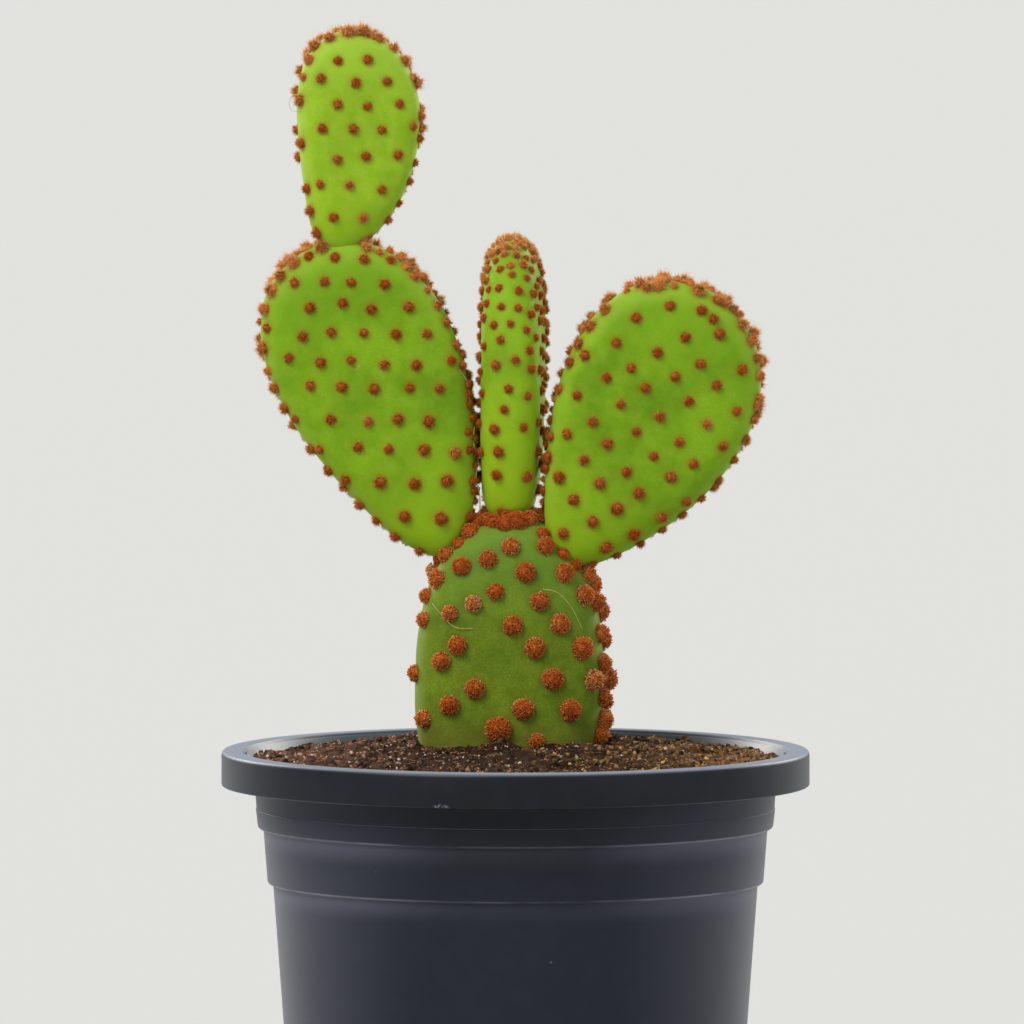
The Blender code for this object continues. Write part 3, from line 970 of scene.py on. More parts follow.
@dataclass
class NurseryPot:
    """Thin moulded pot: turned-down lip, stepped wall, foot ring and drain holes."""

    height: float = 0.110
    lip_radius: float = 0.065
    lip_drop: float = 0.0077
    lip_round: float = 0.0010
    lip_inner_radius: float = 0.0598
    groove: float = 0.0007
    flare_foot: float = 0.1050
    wall: float = 0.0013
    body_top_radius: float = 0.0582
    body_taper: float = math.radians(4.2)
    step_depths: tuple[float, float] = (0.0169, 0.0292)
    step_in: float = 0.00125
    ring_depth: float = 0.0129
    ring_proud: float = 0.00015
    foot_ring_height: float = 0.0030
    foot_ring_width: float = 0.0060
    floor_thickness: float = 0.0016
    drain_holes: int = 6
    drain_radius: float = 0.0035
    drain_circle: float = 0.027
    drill_height: float = 0.004
    hub_radius: float = 0.004
    edge_round: float = 0.0004
    fine_round: float = 0.0003
    groove_round: float = 0.0001
    ring_round: float = 0.00005
    lip_fillet: float = 0.0008
    flare_round: float = 0.0015
    arc_steps: int = 3
    sides: int = 192

    def outer_radius(self, height: float, steps_above: int) -> float:
        """Radius of the outside at a height, below a number of the steps."""
        fall = (self.height - height) * math.tan(self.body_taper)
        return self.body_top_radius - fall - steps_above * self.step_in

    def inner_radius(self, height: float) -> float:
        """Radius inside at a height above the first ledge, where the wall flares to the lip.

        Args:
            height: a height over the ground.

        Returns:
            The radius.
        """
        wall = self.outer_radius(height, 0) - self.wall
        share = max(0.0, (height - self.flare_foot) / (self.height - self.flare_foot))
        return wall + (self.lip_inner_radius - wall) * share

    def wall_corners(self, inset: float, low: float, high: float, rounding: float) -> list[Corner]:
        """Corners down the stepped wall.

        Args:
            inset: how far inside the outer surface the corners lie.
            low: height of the last corner.
            high: height of the first corner.
            rounding: how far the edges of the steps are rounded.

        Returns:
            The corners, from the top down.
        """
        corners = [Corner(self.outer_radius(high, 0) - inset, high, rounding)]
        for count, depth in enumerate(self.step_depths):
            ledge = self.height - depth + inset
            below = ledge - self.step_in / 2
            corners.append(Corner(self.outer_radius(ledge, count) - inset, ledge, rounding))
            corners.append(Corner(self.outer_radius(ledge, count + 1) - inset, below, rounding))
        last = self.outer_radius(low, len(self.step_depths)) - inset
        corners.append(Corner(last, low, rounding))
        return corners

    def lip_corners(self) -> list[Corner]:
        """Corners of the lip: its groove, its flat top, its skirt and the hollow under it.

        Returns:
            The corners, from the inner edge round to the wall again.
        """
        skirt_foot = self.height - self.lip_drop
        underside = self.height - self.wall
        return [
            Corner(self.lip_inner_radius - self.groove, self.height - self.groove / 2, self.edge_round),
            Corner(self.lip_inner_radius, self.height - self.groove * 2, self.groove_round),
            Corner(self.lip_inner_radius + self.groove, self.height, self.fine_round),
            Corner(self.lip_radius, self.height, self.lip_round),
            Corner(self.lip_radius, skirt_foot, self.edge_round),
            Corner(self.lip_radius - self.wall, skirt_foot, self.fine_round),
            Corner(self.lip_radius - self.wall, underside, self.edge_round),
            Corner(self.lip_inner_radius + self.wall, underside, self.lip_fillet),
        ]

    def corners(self) -> list[Corner]:
        """The whole turned outline, from the middle of the floor inside to the one below."""
        floor_top = self.foot_ring_height + self.floor_thickness
        foot_inside = self.outer_radius(0.0, len(self.step_depths)) - self.foot_ring_width
        inside = self.wall_corners(self.wall, floor_top, self.flare_foot, self.edge_round)[::-1]
        inside[-1] = replace(inside[-1], rounding=self.flare_round)
        outside = self.wall_corners(0.0, 0.0, self.flare_foot, self.edge_round)
        outside[0] = replace(outside[0], rounding=self.flare_round)
        ring = self.height - self.ring_depth
        outside[1:1] = [
            Corner(self.outer_radius(ring, 0), ring + self.ring_proud, self.ring_round),
            Corner(self.outer_radius(ring, 0) + self.ring_proud, ring, self.ring_round),
        ]
        foot = [
            Corner(foot_inside, 0.0, self.edge_round),
            Corner(foot_inside - self.edge_round, self.foot_ring_height, self.edge_round),
            Corner(self.hub_radius, self.foot_ring_height),
        ]
        return [Corner(self.hub_radius, floor_top), *inside, *self.lip_corners(), *outside, *foot]

    def drill(self, shell: Piece) -> None:
        """Cuts the drain holes through the raised floor: one in the middle and a ring round it.

        Args:
            shell: the pot, before its holes.
        """
        places = [(0.0, 0.0)]
        for index in range(self.drain_holes):
            turn = 2 * math.pi * index / self.drain_holes
            places.append((self.drain_circle * math.cos(turn), self.drain_circle * math.sin(turn)))
        for x, y in places:
            drill = new_piece(
                "drill",
                bpy.ops.mesh.primitive_cylinder_add,
                vertices=32,
                radius=self.drain_radius,
                depth=4 * self.foot_ring_height,
            )
            drill.location = (x, y, self.drill_height)
            cut_away(shell, drill, "EXACT")

    def build(self, finish: PlasticFinish) -> Piece:
        """Models and dresses the pot.

        Args:
            finish: the pot's plastic.

        Returns:
            The finished pot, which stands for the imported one.
        """
        outline = rounded_outline(self.corners(), self.arc_steps)
        shell = turn_solid("pot_shell", outline, self.sides)
        self.drill(shell)
        smooth(shell)
        dress(shell, finish.material())
        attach(shell, BODY)
        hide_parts("pot")
        report(shell)
        return shell


# Pads


@dataclass(frozen=True)
class Rows:
    """Places of the tufts on a pad: rows across the faces, and a zigzag along the rim.

    The first row lies a distance below the tip. Each next one is a pitch lower, which grows by
    a share a row, and drifts sideways by a share of the spacing across, which widens by a share
    a row. slope tilts the rows and bend curves them. rim is the spacing along each side of the
    zigzag.
    """

    across: float
    widening: float
    shift: float
    drift: float
    first: float
    pitch: float
    growth: float
    slope: float
    bend: float
    rim: float
    closest: float
    radius: float


@dataclass(frozen=True)
class PadForm:
    """A flat stem segment: where its foot is, how it leans, its outline and its rows of tufts."""

    name: str
    carrier: str
    foot: tuple[float, float, float]
    lean: float
    nod: float
    turn: float
    length: float
    half_width: float
    half_depth: float
    taper: float
    fullness: float
    bow: float
    bow_high: float
    arch: float
    rows: Rows

    FACE_POWER = 6
    OUTLINE_STEPS = 720
    SLOPE_STEP = 0.00005

    def outline(self, around: Array) -> tuple[Array, Array]:
        """Points on the outline.

        Args:
            around: angles from the tip round the right side.

        Returns:
            Their places across and along the pad.
        """
        tip = np.cos(around)
        side = np.sin(around)
        breadth = self.half_width * (1 + self.taper * tip + self.fullness * tip**2)
        across = side * breadth + side**2 * (self.bow + self.bow_high * tip)
        return across, self.length / 2 * (1 + tip)

    def arch_at(self, along: Array) -> Array:
        """How far the middle plane is pushed back at a distance along the pad."""
        return self.arch * (1 - (2 * along / self.length - 1) ** 2)

    def face_depth(self, share: Array) -> Array:
        """Distance of a face from the middle plane, rounded off towards the rim."""
        return self.half_depth * np.sqrt(np.maximum(0.0, 1 - share**self.FACE_POWER))

    def skin_points(self, around: Array, over: Array) -> Array:
        """Points of the skin.

        Args:
            around: angles from the tip round the right side.
            over: angles from 0 in the front face to pi in the back face.

        Returns:
            Local points as rows.
        """
        rim_across, rim_along = self.outline(around)
        out = np.sin(over)
        across = self.bow + out * (rim_across - self.bow)
        along = self.length / 2 + out * (rim_along - self.length / 2)
        depth = -np.sign(np.cos(over)) * self.face_depth(out) + self.arch_at(along)
        return np.stack([across, depth, along], axis=-1)

    def strewn(self, count: int, random: Random) -> Array:
        """Local points strewn over the whole skin."""
        around = random.uniform(-math.pi, math.pi, count)
        return self.skin_points(around, np.arccos(random.uniform(-1, 1, count)))

    def rim_share(self, across: Array, along: Array) -> Array:
        """How far out places on the face lie.

        Args:
            across: their places across the pad.
            along: their places along the pad.

        Returns:
            0 at the face's middle and 1 on the outline.
        """
        around = np.linspace(-math.pi, math.pi, self.OUTLINE_STEPS, endpoint=False)
        rim_across, rim_along = self.outline(around)
        rim_across = rim_across - self.bow
        rim_along = rim_along - self.length / 2
        bearing = np.arctan2(rim_across, rim_along)
        reach = np.hypot(rim_across, rim_along)
        here = np.arctan2(across - self.bow, along - self.length / 2)
        full = np.interp(here, bearing, reach, period=2 * math.pi)
        return np.hypot(across - self.bow, along - self.length / 2) / full

    def face_points(self, across: Array, along: Array, side: int) -> Array:
        """Local points of the front face, for which side is -1, or of the back face, for 1."""
        depth = side * self.face_depth(self.rim_share(across, along)) + self.arch_at(along)
        return np.stack([across, depth, along], axis=-1)

    def form(self, points: Array) -> Array:
        """Tells on which side of the skin points lie.

        Args:
            points: local points.

        Returns:
            Below zero inside the pad, zero on its skin and above zero outside.
        """
        across, depth, along = points[..., 0], points[..., 1], points[..., 2]
        level = (depth - self.arch_at(along)) / self.half_depth
        return level**2 + self.rim_share(across, along) ** self.FACE_POWER - 1

    def skin_normals(self, points: Array) -> Array:
        """Outward directions of the skin, from the slope of the form.

        Args:
            points: local points.

        Returns:
            Unit vectors along the pad's own axes.
        """
        slope = []
        for axis in range(3):
            shift = np.zeros(3)
            shift[axis] = self.SLOPE_STEP
            slope.append(self.form(points + shift) - self.form(points - shift))
        stacked = np.stack(slope, axis=-1)
        return stacked / np.linalg.norm(stacked, axis=-1, keepdims=True)

    def outward(self, points: Array) -> Array:
        """Outward directions of the skin at local points, along the frame's axes."""
        return self.skin_normals(points) @ np.array(self.matrix().to_3x3()).T

    def grown(self, margin: float) -> "PadForm":
        """The same pad with its skin moved out.

        Args:
            margin: how far, below zero for inward.

        Returns:
            The new form.
        """
        shift = Vector(self.foot) - self.matrix().to_3x3() @ Vector((0, 0, margin))
        return replace(
            self,
            foot=tuple(shift),
            length=self.length + 2 * margin,
            half_width=self.half_width + margin,
            half_depth=self.half_depth + margin,
        )

    def matrix(self) -> Matrix:
        """Places the pad: its own axis is local Z, its front face looks along local -Y.

        Returns:
            The matrix that carries local points to the frame's.
        """
        return (
            Matrix.Translation(self.foot)
            @ Matrix.Rotation(math.radians(self.lean), 4, "Y")
            @ Matrix.Rotation(math.radians(self.nod), 4, "X")
            @ Matrix.Rotation(math.radians(self.turn), 4, "Z")
        )

    def to_world(self, points: Array) -> Array:
        """Carries local points to the frame's."""
        matrix = np.array(self.matrix())
        return points @ matrix[:3, :3].T + matrix[:3, 3]

    def to_local(self, points: Array) -> Array:
        """Carries the frame's points to local ones."""
        matrix = np.array(self.matrix().inverted())
        return points @ matrix[:3, :3].T + matrix[:3, 3]

    def clearance(self, points: Array, margin: float) -> Array:
        """Which of the frame's points lie outside the pad by more than a margin."""
        wide = self.grown(margin)
        return wide.form(wide.to_local(points)) > 0

    def body(self, name: str, fineness: int) -> Piece:
        """Draws a ball out to the pad's form.

        Args:
            name: the new object's name.
            fineness: subdivisions of the ball before its last smoothing one.

        Returns:
            A closed mesh in the frame's own place.
        """
        piece = new_piece(name, bpy.ops.mesh.primitive_ico_sphere_add, subdivisions=fineness, radius=1.0)
        apply_modifier(piece, "SUBSURF", levels=1, render_levels=1)
        ball = read_points(piece)
        ball /= np.linalg.norm(ball, axis=1, keepdims=True)
        around = np.arctan2(ball[:, 0], ball[:, 2])
        over = np.arccos(np.clip(-ball[:, 1], -1, 1))
        write_points(piece, self.to_world(self.skin_points(around, over)))
        outward_normals(piece)
        return piece


def clear_of(pads: list[PadForm], points: Array, margin: float) -> Array:
    """Tells which points lie outside all of some pads.

    Args:
        pads: the pads to stay clear of.
        points: the frame's points.
        margin: how far outside they have to lie.

    Returns:
        A mask with a value for each point.
    """
    free = np.ones(len(points), dtype=bool)
    for pad in pads:
        free &= pad.clearance(points, margin)
    return free


@dataclass
class TuftSet:
    """Tufts of one pad, one row each.

    Attributes:
        places: where each is rooted.
        directions: unit vectors outward.
        sizes: radius of each.
        loose: how unruly each is, up to 1, and how much paler it is painted, as a backlight glow; below 0
            where it is matted and painted darker as shade.
    """

    places: Array
    directions: Array
    sizes: Array
    loose: Array

    @classmethod
    def rooted(cls, pad: PadForm, local: Array, sizes: Array, loose: object = 0.0) -> "TuftSet":
        """Tufts that stand straight out from a pad at local points."""
        return cls(pad.to_world(local), pad.outward(local), sizes, np.zeros(len(local)) + loose)

    def joined(self, other: "TuftSet") -> "TuftSet":
        """Both sets in one."""
        pairs = {name: (mine, vars(other)[name]) for name, mine in vars(self).items()}
        return TuftSet(**{name: np.concatenate(pair) for name, pair in pairs.items()})

    def picked(self, kept: Array) -> "TuftSet":
        """Those of the tufts that a mask keeps."""
        return TuftSet(**{name: values[kept] for name, values in vars(self).items()})


@dataclass
class TuftRule:
    """The seeded rule that places the tufts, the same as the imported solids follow."""

    face_share: float = 0.86
    rim_angle: float = 0.22
    rim_crowding: float = 0.35
    most_rows: int = 20
    height: float = 0.0016
    jitter: float = 0.0004
    size_spread: float = 0.10
    to_neighbour: float = 0.0008
    over_soil: float = 0.0016
    soil_crown: float = 0.1118
    squeezed_gap: float = 0.0004
    squeezed_size: float = 0.85

    @classmethod
    def above_soil(cls, world: Array) -> Array:
        """Which of the frame's points lie well over the soil."""
        return world[:, 2] > cls.soil_crown + cls.over_soil

    def face_places(self, pad: PadForm, side: int, random: Random) -> Array:
        """Rows over one face.

        Args:
            pad: the pad that they grow on.
            side: -1 in front and 1 behind.
            random: the generator of the jitter.

        Returns:
            Local points.
        """
        rows = pad.rows
        numbers = np.arange(-self.most_rows, self.most_rows + 1)
        row, column = np.meshgrid(numbers[numbers > -self.most_rows // 4], numbers, indexing="ij")
        row = row.ravel()
        spacing = rows.across * (1 + rows.widening * row)
        across = rows.shift + (column.ravel() + rows.drift * row) * spacing
        along = pad.length - rows.first - rows.pitch * row * (1 + rows.growth * row)
        along = along - side * rows.slope * across + rows.bend * across**2
        across = across + random.normal(0.0, self.jitter, len(row))
        along = along + random.normal(0.0, self.jitter, len(row))
        kept = pad.rim_share(across, along) < self.face_share
        return pad.face_points(across[kept], along[kept], side)

    def rim_places(self, pad: PadForm, over: float, phase: float, random: Random) -> Array:
        """A row that follows the outline, closer set towards the tip.

        Args:
            pad: the pad that it grows on.
            over: its angle over the rim.
            phase: where it starts, as a share of the spacing.
            random: the generator of the jitter.

        Returns:
            Local points.
        """
        around = np.linspace(-math.pi, math.pi, pad.OUTLINE_STEPS + 1)
        ring = pad.skin_points(around, np.full_like(around, over))
        steps = np.linalg.norm(np.diff(ring, axis=0), axis=1)
        crowd = 1.0 + self.rim_crowding * np.maximum(0.0, np.cos(around[:-1]))
        counted = np.concatenate([[0.0], np.cumsum(steps * crowd)]) / pad.rows.rim
        marks = np.arange(phase, counted[-1], 1.0)
        marks = marks + random.normal(0.0, self.jitter / pad.rows.rim, len(marks))
        chosen = np.interp(marks, counted, around)
        return pad.skin_points(chosen, np.full_like(chosen, over))

    @staticmethod
    def thinned(places: Array, closest: float) -> Array:
        """Keeps each place that isn't too close to one kept before it.

        Args:
            places: points as rows.
            closest: the least distance between two of them.

        Returns:
            The points that stay.
        """
        kept: list[Array] = []
        for place in places:
            if all(np.linalg.norm(place - other) >= closest for other in kept):
                kept.append(place)
        return np.array(kept)

    def all_places(self, pad: PadForm, random: Random) -> Array:
        """All tuft places of a pad that stand free of its own other tufts.

        Args:
            pad: the pad that they grow on.
            random: the generator of the jitter.

        Returns:
            Local points.
        """
        front_rim = self.rim_places(pad, math.pi / 2 - self.rim_angle, 0.25, random)
        back_rim = self.rim_places(pad, math.pi / 2 + self.rim_angle, 0.75, random)
        faces = [self.face_places(pad, side, random) for side in (-1, 1)]
        return self.thinned(np.concatenate([front_rim, back_rim, *faces]), pad.rows.closest)

    def tufts(
        self, pad: PadForm, others: list[PadForm], taken: list[tuple[Array, float]], random: Random
    ) -> TuftSet:
        """Tufts of one pad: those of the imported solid, and smaller ones squeezed at the joints.

        Args:
            pad: the pad that they grow on.
            others: the other pads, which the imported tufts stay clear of.
            taken: middle and size of each tuft placed so far, which grows by this pad's.
            random: the generator that all pads share.

        Returns:
            The pad's tufts, in the frame's own place.
        """
        local = self.all_places(pad, random)
        sizes = pad.rows.radius * random.uniform(1 - self.size_spread, 1 + self.size_spread, len(local))
        tufts = TuftSet.rooted(pad, local, sizes)
        above = self.above_soil(tufts.places)
        tops = tufts.places + tufts.directions * self.height
        free = above & clear_of(others, tufts.places, pad.rows.radius + self.to_neighbour)
        free &= clear_of(others, tops, self.to_neighbour)
        outside = above & clear_of(others, tufts.places, self.squeezed_gap)
        middles = tufts.places + tufts.directions * self.height / 2
        for index in np.flatnonzero(free):
            for middle, size in taken:
                if np.linalg.norm(middles[index] - middle) < sizes[index] + size + self.height / 2:
                    free[index] = False
        taken.extend((middles[index], sizes[index]) for index in np.flatnonzero(free))
        squeezed = replace(tufts, sizes=sizes * self.squeezed_size).picked(outside & ~free)
        return tufts.picked(free).joined(squeezed)


@dataclass(frozen=True)
class SlantRow:
    """A short slanting row of tufts on a pad's front face.

    Attributes:
        start: where its first tuft is, across and along the pad.
        step: from each tuft to the next.
        count: how many there are.
        size: their size, as a share of the pad's usual one.
    """

    start: tuple[float, float]
    step: tuple[float, float]
    count: int
    size: float

    def places(self) -> Array:
        """Each tuft's place across and along the pad."""
        return np.array(self.start) + np.arange(self.count)[:, None] * np.array(self.step)


@dataclass(frozen=True)
class Fluff:
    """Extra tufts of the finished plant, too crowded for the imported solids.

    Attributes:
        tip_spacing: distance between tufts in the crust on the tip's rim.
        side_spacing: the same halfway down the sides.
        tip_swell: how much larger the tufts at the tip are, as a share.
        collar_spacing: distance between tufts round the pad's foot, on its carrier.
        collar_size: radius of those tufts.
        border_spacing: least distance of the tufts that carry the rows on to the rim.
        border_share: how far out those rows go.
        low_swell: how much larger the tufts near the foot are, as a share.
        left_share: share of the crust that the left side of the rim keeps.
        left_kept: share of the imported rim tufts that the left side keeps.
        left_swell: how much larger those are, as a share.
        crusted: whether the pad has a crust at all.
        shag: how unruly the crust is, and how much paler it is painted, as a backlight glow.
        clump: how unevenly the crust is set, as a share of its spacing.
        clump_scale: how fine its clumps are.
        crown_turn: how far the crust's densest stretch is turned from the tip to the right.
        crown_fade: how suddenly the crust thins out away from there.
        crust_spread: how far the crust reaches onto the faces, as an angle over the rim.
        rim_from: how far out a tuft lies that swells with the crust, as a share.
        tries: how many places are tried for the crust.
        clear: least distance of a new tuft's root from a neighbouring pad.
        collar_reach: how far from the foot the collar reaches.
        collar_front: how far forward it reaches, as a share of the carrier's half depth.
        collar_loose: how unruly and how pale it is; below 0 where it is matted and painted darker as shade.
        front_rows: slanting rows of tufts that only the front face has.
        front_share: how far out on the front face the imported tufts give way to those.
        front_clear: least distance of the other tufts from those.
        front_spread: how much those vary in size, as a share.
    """

    tip_spacing: float = 0.0
    side_spacing: float = 0.0
    tip_swell: float = 0.0
    collar_spacing: float = 0.0022
    collar_size: float = 0.0014
    border_spacing: float = 0.0028
    border_share: float = 0.945
    low_swell: float = 0.0
    left_share: float = 1.0
    left_kept: float = 1.0
    left_swell: float = 0.15
    crusted: bool = True
    shag: float = 1.0
    clump: float = 0.6
    clump_scale: float = 240.0
    crown_turn: float = 0.0
    crown_fade: float = 1.7
    crust_spread: float = 0.24
    rim_from: float = 0.86
    tries: int = 5000
    clear: float = 0.0003
    collar_reach: float = 0.0019
    collar_front: float = 1.2
    collar_loose: float = 0.6
    front_rows: tuple[SlantRow, ...] = ()
    front_share: float = 0.0
    front_clear: float = 0.0034
    front_spread: float = 0.06

    def swollen(self, pad: PadForm, tufts: TuftSet) -> TuftSet:
        """Enlarges the tufts near the tip's rim.

        Args:
            pad: the pad that they grow on.
            tufts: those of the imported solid.

        Returns:
            The same tufts, with new sizes.
        """
        local = pad.to_local(tufts.places)
        near_rim = pad.rim_share(local[:, 0], local[:, 2]) > self.rim_from
        toward_tip = np.clip(2 * local[:, 2] / pad.length - 1, 0, 1)
        toward_foot = np.clip(1 - 2 * local[:, 2] / pad.length, 0, 1)
        sizes = tufts.sizes * (1 + self.tip_swell * toward_tip * near_rim)
        sizes = sizes * (1 + self.low_swell * toward_foot * ~near_rim)
        return replace(tufts, sizes=sizes, loose=self.shag * toward_tip * near_rim)

    def bared(self, pad: PadForm, tufts: TuftSet, random: Random) -> TuftSet:
        """Leaves fewer and larger tufts on the left of the rim.

        Args:
            pad: the pad that they grow on.
            tufts: those that it has.
            random: the generator of which go.

        Returns:
            The tufts that stay.
        """
        local = pad.to_local(tufts.places)
        at_left = (local[:, 0] < 0) & (pad.rim_share(local[:, 0], local[:, 2]) > self.rim_from)
        kept = ~at_left | (random.uniform(0, 1, len(local)) < self.left_kept)
        sizes = tufts.sizes * np.where(at_left, 1 + self.left_swell, 1.0)
        return replace(tufts, sizes=sizes).picked(kept)

    def with_front_rows(self, pad: PadForm, tufts: TuftSet, random: Random) -> TuftSet:
        """Puts the front face's own rows in place of the tufts that they crowd.

        Args:
            pad: the pad that they grow on.
            tufts: those that it has.
            random: the generator of the jitter and of the sizes.

        Returns:
            The tufts that stay and the new ones.
        """
        if not self.front_rows:
            return tufts
        across, along = np.concatenate([row.places() for row in self.front_rows]).T
        across = across + random.normal(0.0, TuftRule.jitter, len(across))
        along = along + random.normal(0.0, TuftRule.jitter, len(along))
        share = np.concatenate([np.full(row.count, row.size) for row in self.front_rows])
        share = share * random.uniform(1 - self.front_spread, 1 + self.front_spread, len(share))
        added = TuftSet.rooted(pad, pad.face_points(across, along, -1), pad.rows.radius * share)
        others = pad.to_local(tufts.places)
        kept = pad.rim_share(others[:, 0], others[:, 2]) > self.front_share
        kept |= others[:, 1] > pad.arch_at(others[:, 2])
        apart = np.linalg.norm(tufts.places[:, None, :] - added.places[None, :, :], axis=-1)
        kept &= apart.min(axis=1) > self.front_clear
        return tufts.picked(kept).joined(added)

    @staticmethod
    def fill(places: Array, spacing: Array, taken: Array, most: int = 400) -> Array:
        """Picks places one by one that keep their own spacing to all those before them.

        Args:
            places: candidates as rows.
            spacing: the least distance that each candidate needs.
            taken: places that are there already.
            most: where to stop.

        Returns:
            The numbers of the chosen candidates.
        """
        chosen: list[int] = []
        kept = taken
        for index, place in enumerate(places):
            if len(chosen) >= most:
                break
            if len(kept) == 0 or np.linalg.norm(kept - place, axis=1).min() >= spacing[index]:
                chosen.append(index)
                kept = np.vstack([kept, place]) if len(kept) else place[None, :]
        return np.array(chosen, dtype=int)

    def crust(self, pad: PadForm, others: list[PadForm], tufts: TuftSet, random: Random) -> TuftSet:
        """Crowded tufts along the rim, densest at the tip.

        Args:
            pad: the pad that they grow on.
            others: pads that they stay clear of.
            tufts: those that the pad has already.
            random: the generator of places and sizes.

        Returns:
            The new tufts.
        """
        around = random.uniform(-math.pi, math.pi, self.tries)
        over = math.pi / 2 + random.uniform(-self.crust_spread, self.crust_spread, self.tries)
        local = pad.skin_points(around, over)
        world = pad.to_world(local)
        away = (1 - np.cos(around - self.crown_turn)) ** self.crown_fade
        spacing = self.tip_spacing + (self.side_spacing - self.tip_spacing) * away
        free = (around > 0) | (random.uniform(0, 1, self.tries) < self.left_share)
        free &= TuftRule.above_soil(world) & clear_of(others, world, self.clear)
        local, world, spacing, around = local[free], world[free], spacing[free], around[free]
        clumps = np.array([noise.noise(Vector(place) * self.clump_scale) for place in world])
        chosen = self.fill(world, spacing * (1 + self.clump * clumps), tufts.places)
        sizes = pad.rows.radius * random.uniform(0.60, 1.25, len(chosen))
        near_crown = np.maximum(0, np.cos(around[chosen] - self.crown_turn))
        sizes = sizes * (1 + self.tip_swell * near_crown)
        return TuftSet.rooted(pad, local[chosen], sizes, self.shag * (0.4 + 0.6 * near_crown))

    def border(self, pad: PadForm, others: list[PadForm], tufts: TuftSet, random: Random) -> TuftSet:
        """Tufts that carry the rows of both faces on to the rim.

        Args:
            pad: the pad that they grow on.
            others: pads that they stay clear of.
            tufts: those that the pad has already.
            random: the generator of places and sizes.

        Returns:
            The new tufts.
        """
        rule = TuftRule(face_share=self.border_share)
        local = np.concatenate([rule.face_places(pad, side, random) for side in (-1, 1)])
        local = local[pad.rim_share(local[:, 0], local[:, 2]) > TuftRule.face_share]
        if self.front_share:
            local = local[local[:, 1] > 0]
        world = pad.to_world(local)
        free = TuftRule.above_soil(world) & clear_of(others, world, self.clear)
        local, world = local[free], world[free]
        chosen = self.fill(world, np.full(len(world), self.border_spacing), tufts.places)
        sizes = pad.rows.radius * random.uniform(0.9, 1.1, len(chosen))
        return TuftSet.rooted(pad, local[chosen], sizes)

    def collar(
        self, pad: PadForm, carrier: PadForm, others: list[PadForm], tufts: TuftSet, random: Random
    ) -> TuftSet:
        """Tufts on the carrier, or on a neighbour, that crowd close to this pad.

        Args:
            pad: the pad that they crowd round.
            carrier: the pad that they grow on.
            others: pads that they stay clear of.
            tufts: those that the carrier has already.
            random: the generator of places and sizes.

        Returns:
            The new tufts.
        """
        local = carrier.strewn(self.tries * 4, random)
        world = carrier.to_world(local)
        near = ~pad.clearance(world, self.collar_reach)
        near &= local[:, 1] > -self.collar_front * carrier.half_depth
        near &= clear_of([pad, *others], world, self.clear)
        local, world = local[near], world[near]
        chosen = self.fill(world, np.full(len(world), self.collar_spacing), tufts.places)
        sizes = self.collar_size * random.uniform(0.8, 1.2, len(chosen))
        return TuftSet.rooted(carrier, local[chosen], sizes, self.collar_loose)


@dataclass
class LooseScatter:
    """Tufts strewn over a whole pad, closest at its tip, as on the pad that is seen edge on."""

    tip_spacing: float
    foot_spacing: float
    size: float
    widening: float = 0.65
    size_spread: float = 0.12
    tip_reach: float = 0.15
    tries: int = 12000
    clear: float = 0.0008

    def tufts(self, pad: PadForm, others: list[PadForm], random: Random) -> TuftSet:
        """Picks the places.

        Args:
            pad: the pad that they grow on.
            others: pads that they stay clear of.
            random: the generator of places and sizes.

        Returns:
            The tufts, in the frame's own place.
        """
        local = pad.strewn(self.tries, random)
        world = pad.to_world(local)
        free = clear_of(others, world, self.clear)
        local, world = local[free], world[free]
        down = 1 - local[:, 2] / pad.length
        spacing = self.tip_spacing + (self.foot_spacing - self.tip_spacing) * down**self.widening
        chosen = Fluff.fill(world, spacing, np.empty((0, 3)))
        at_tip = np.clip(1 - down[chosen] / self.tip_reach, 0, 1)
        spread = random.uniform(1 - self.size_spread, 1 + self.size_spread, len(chosen))
        sizes = self.size * spread * (0.85 + 0.25 * down[chosen])
        return TuftSet.rooted(pad, local[chosen], sizes, at_tip)


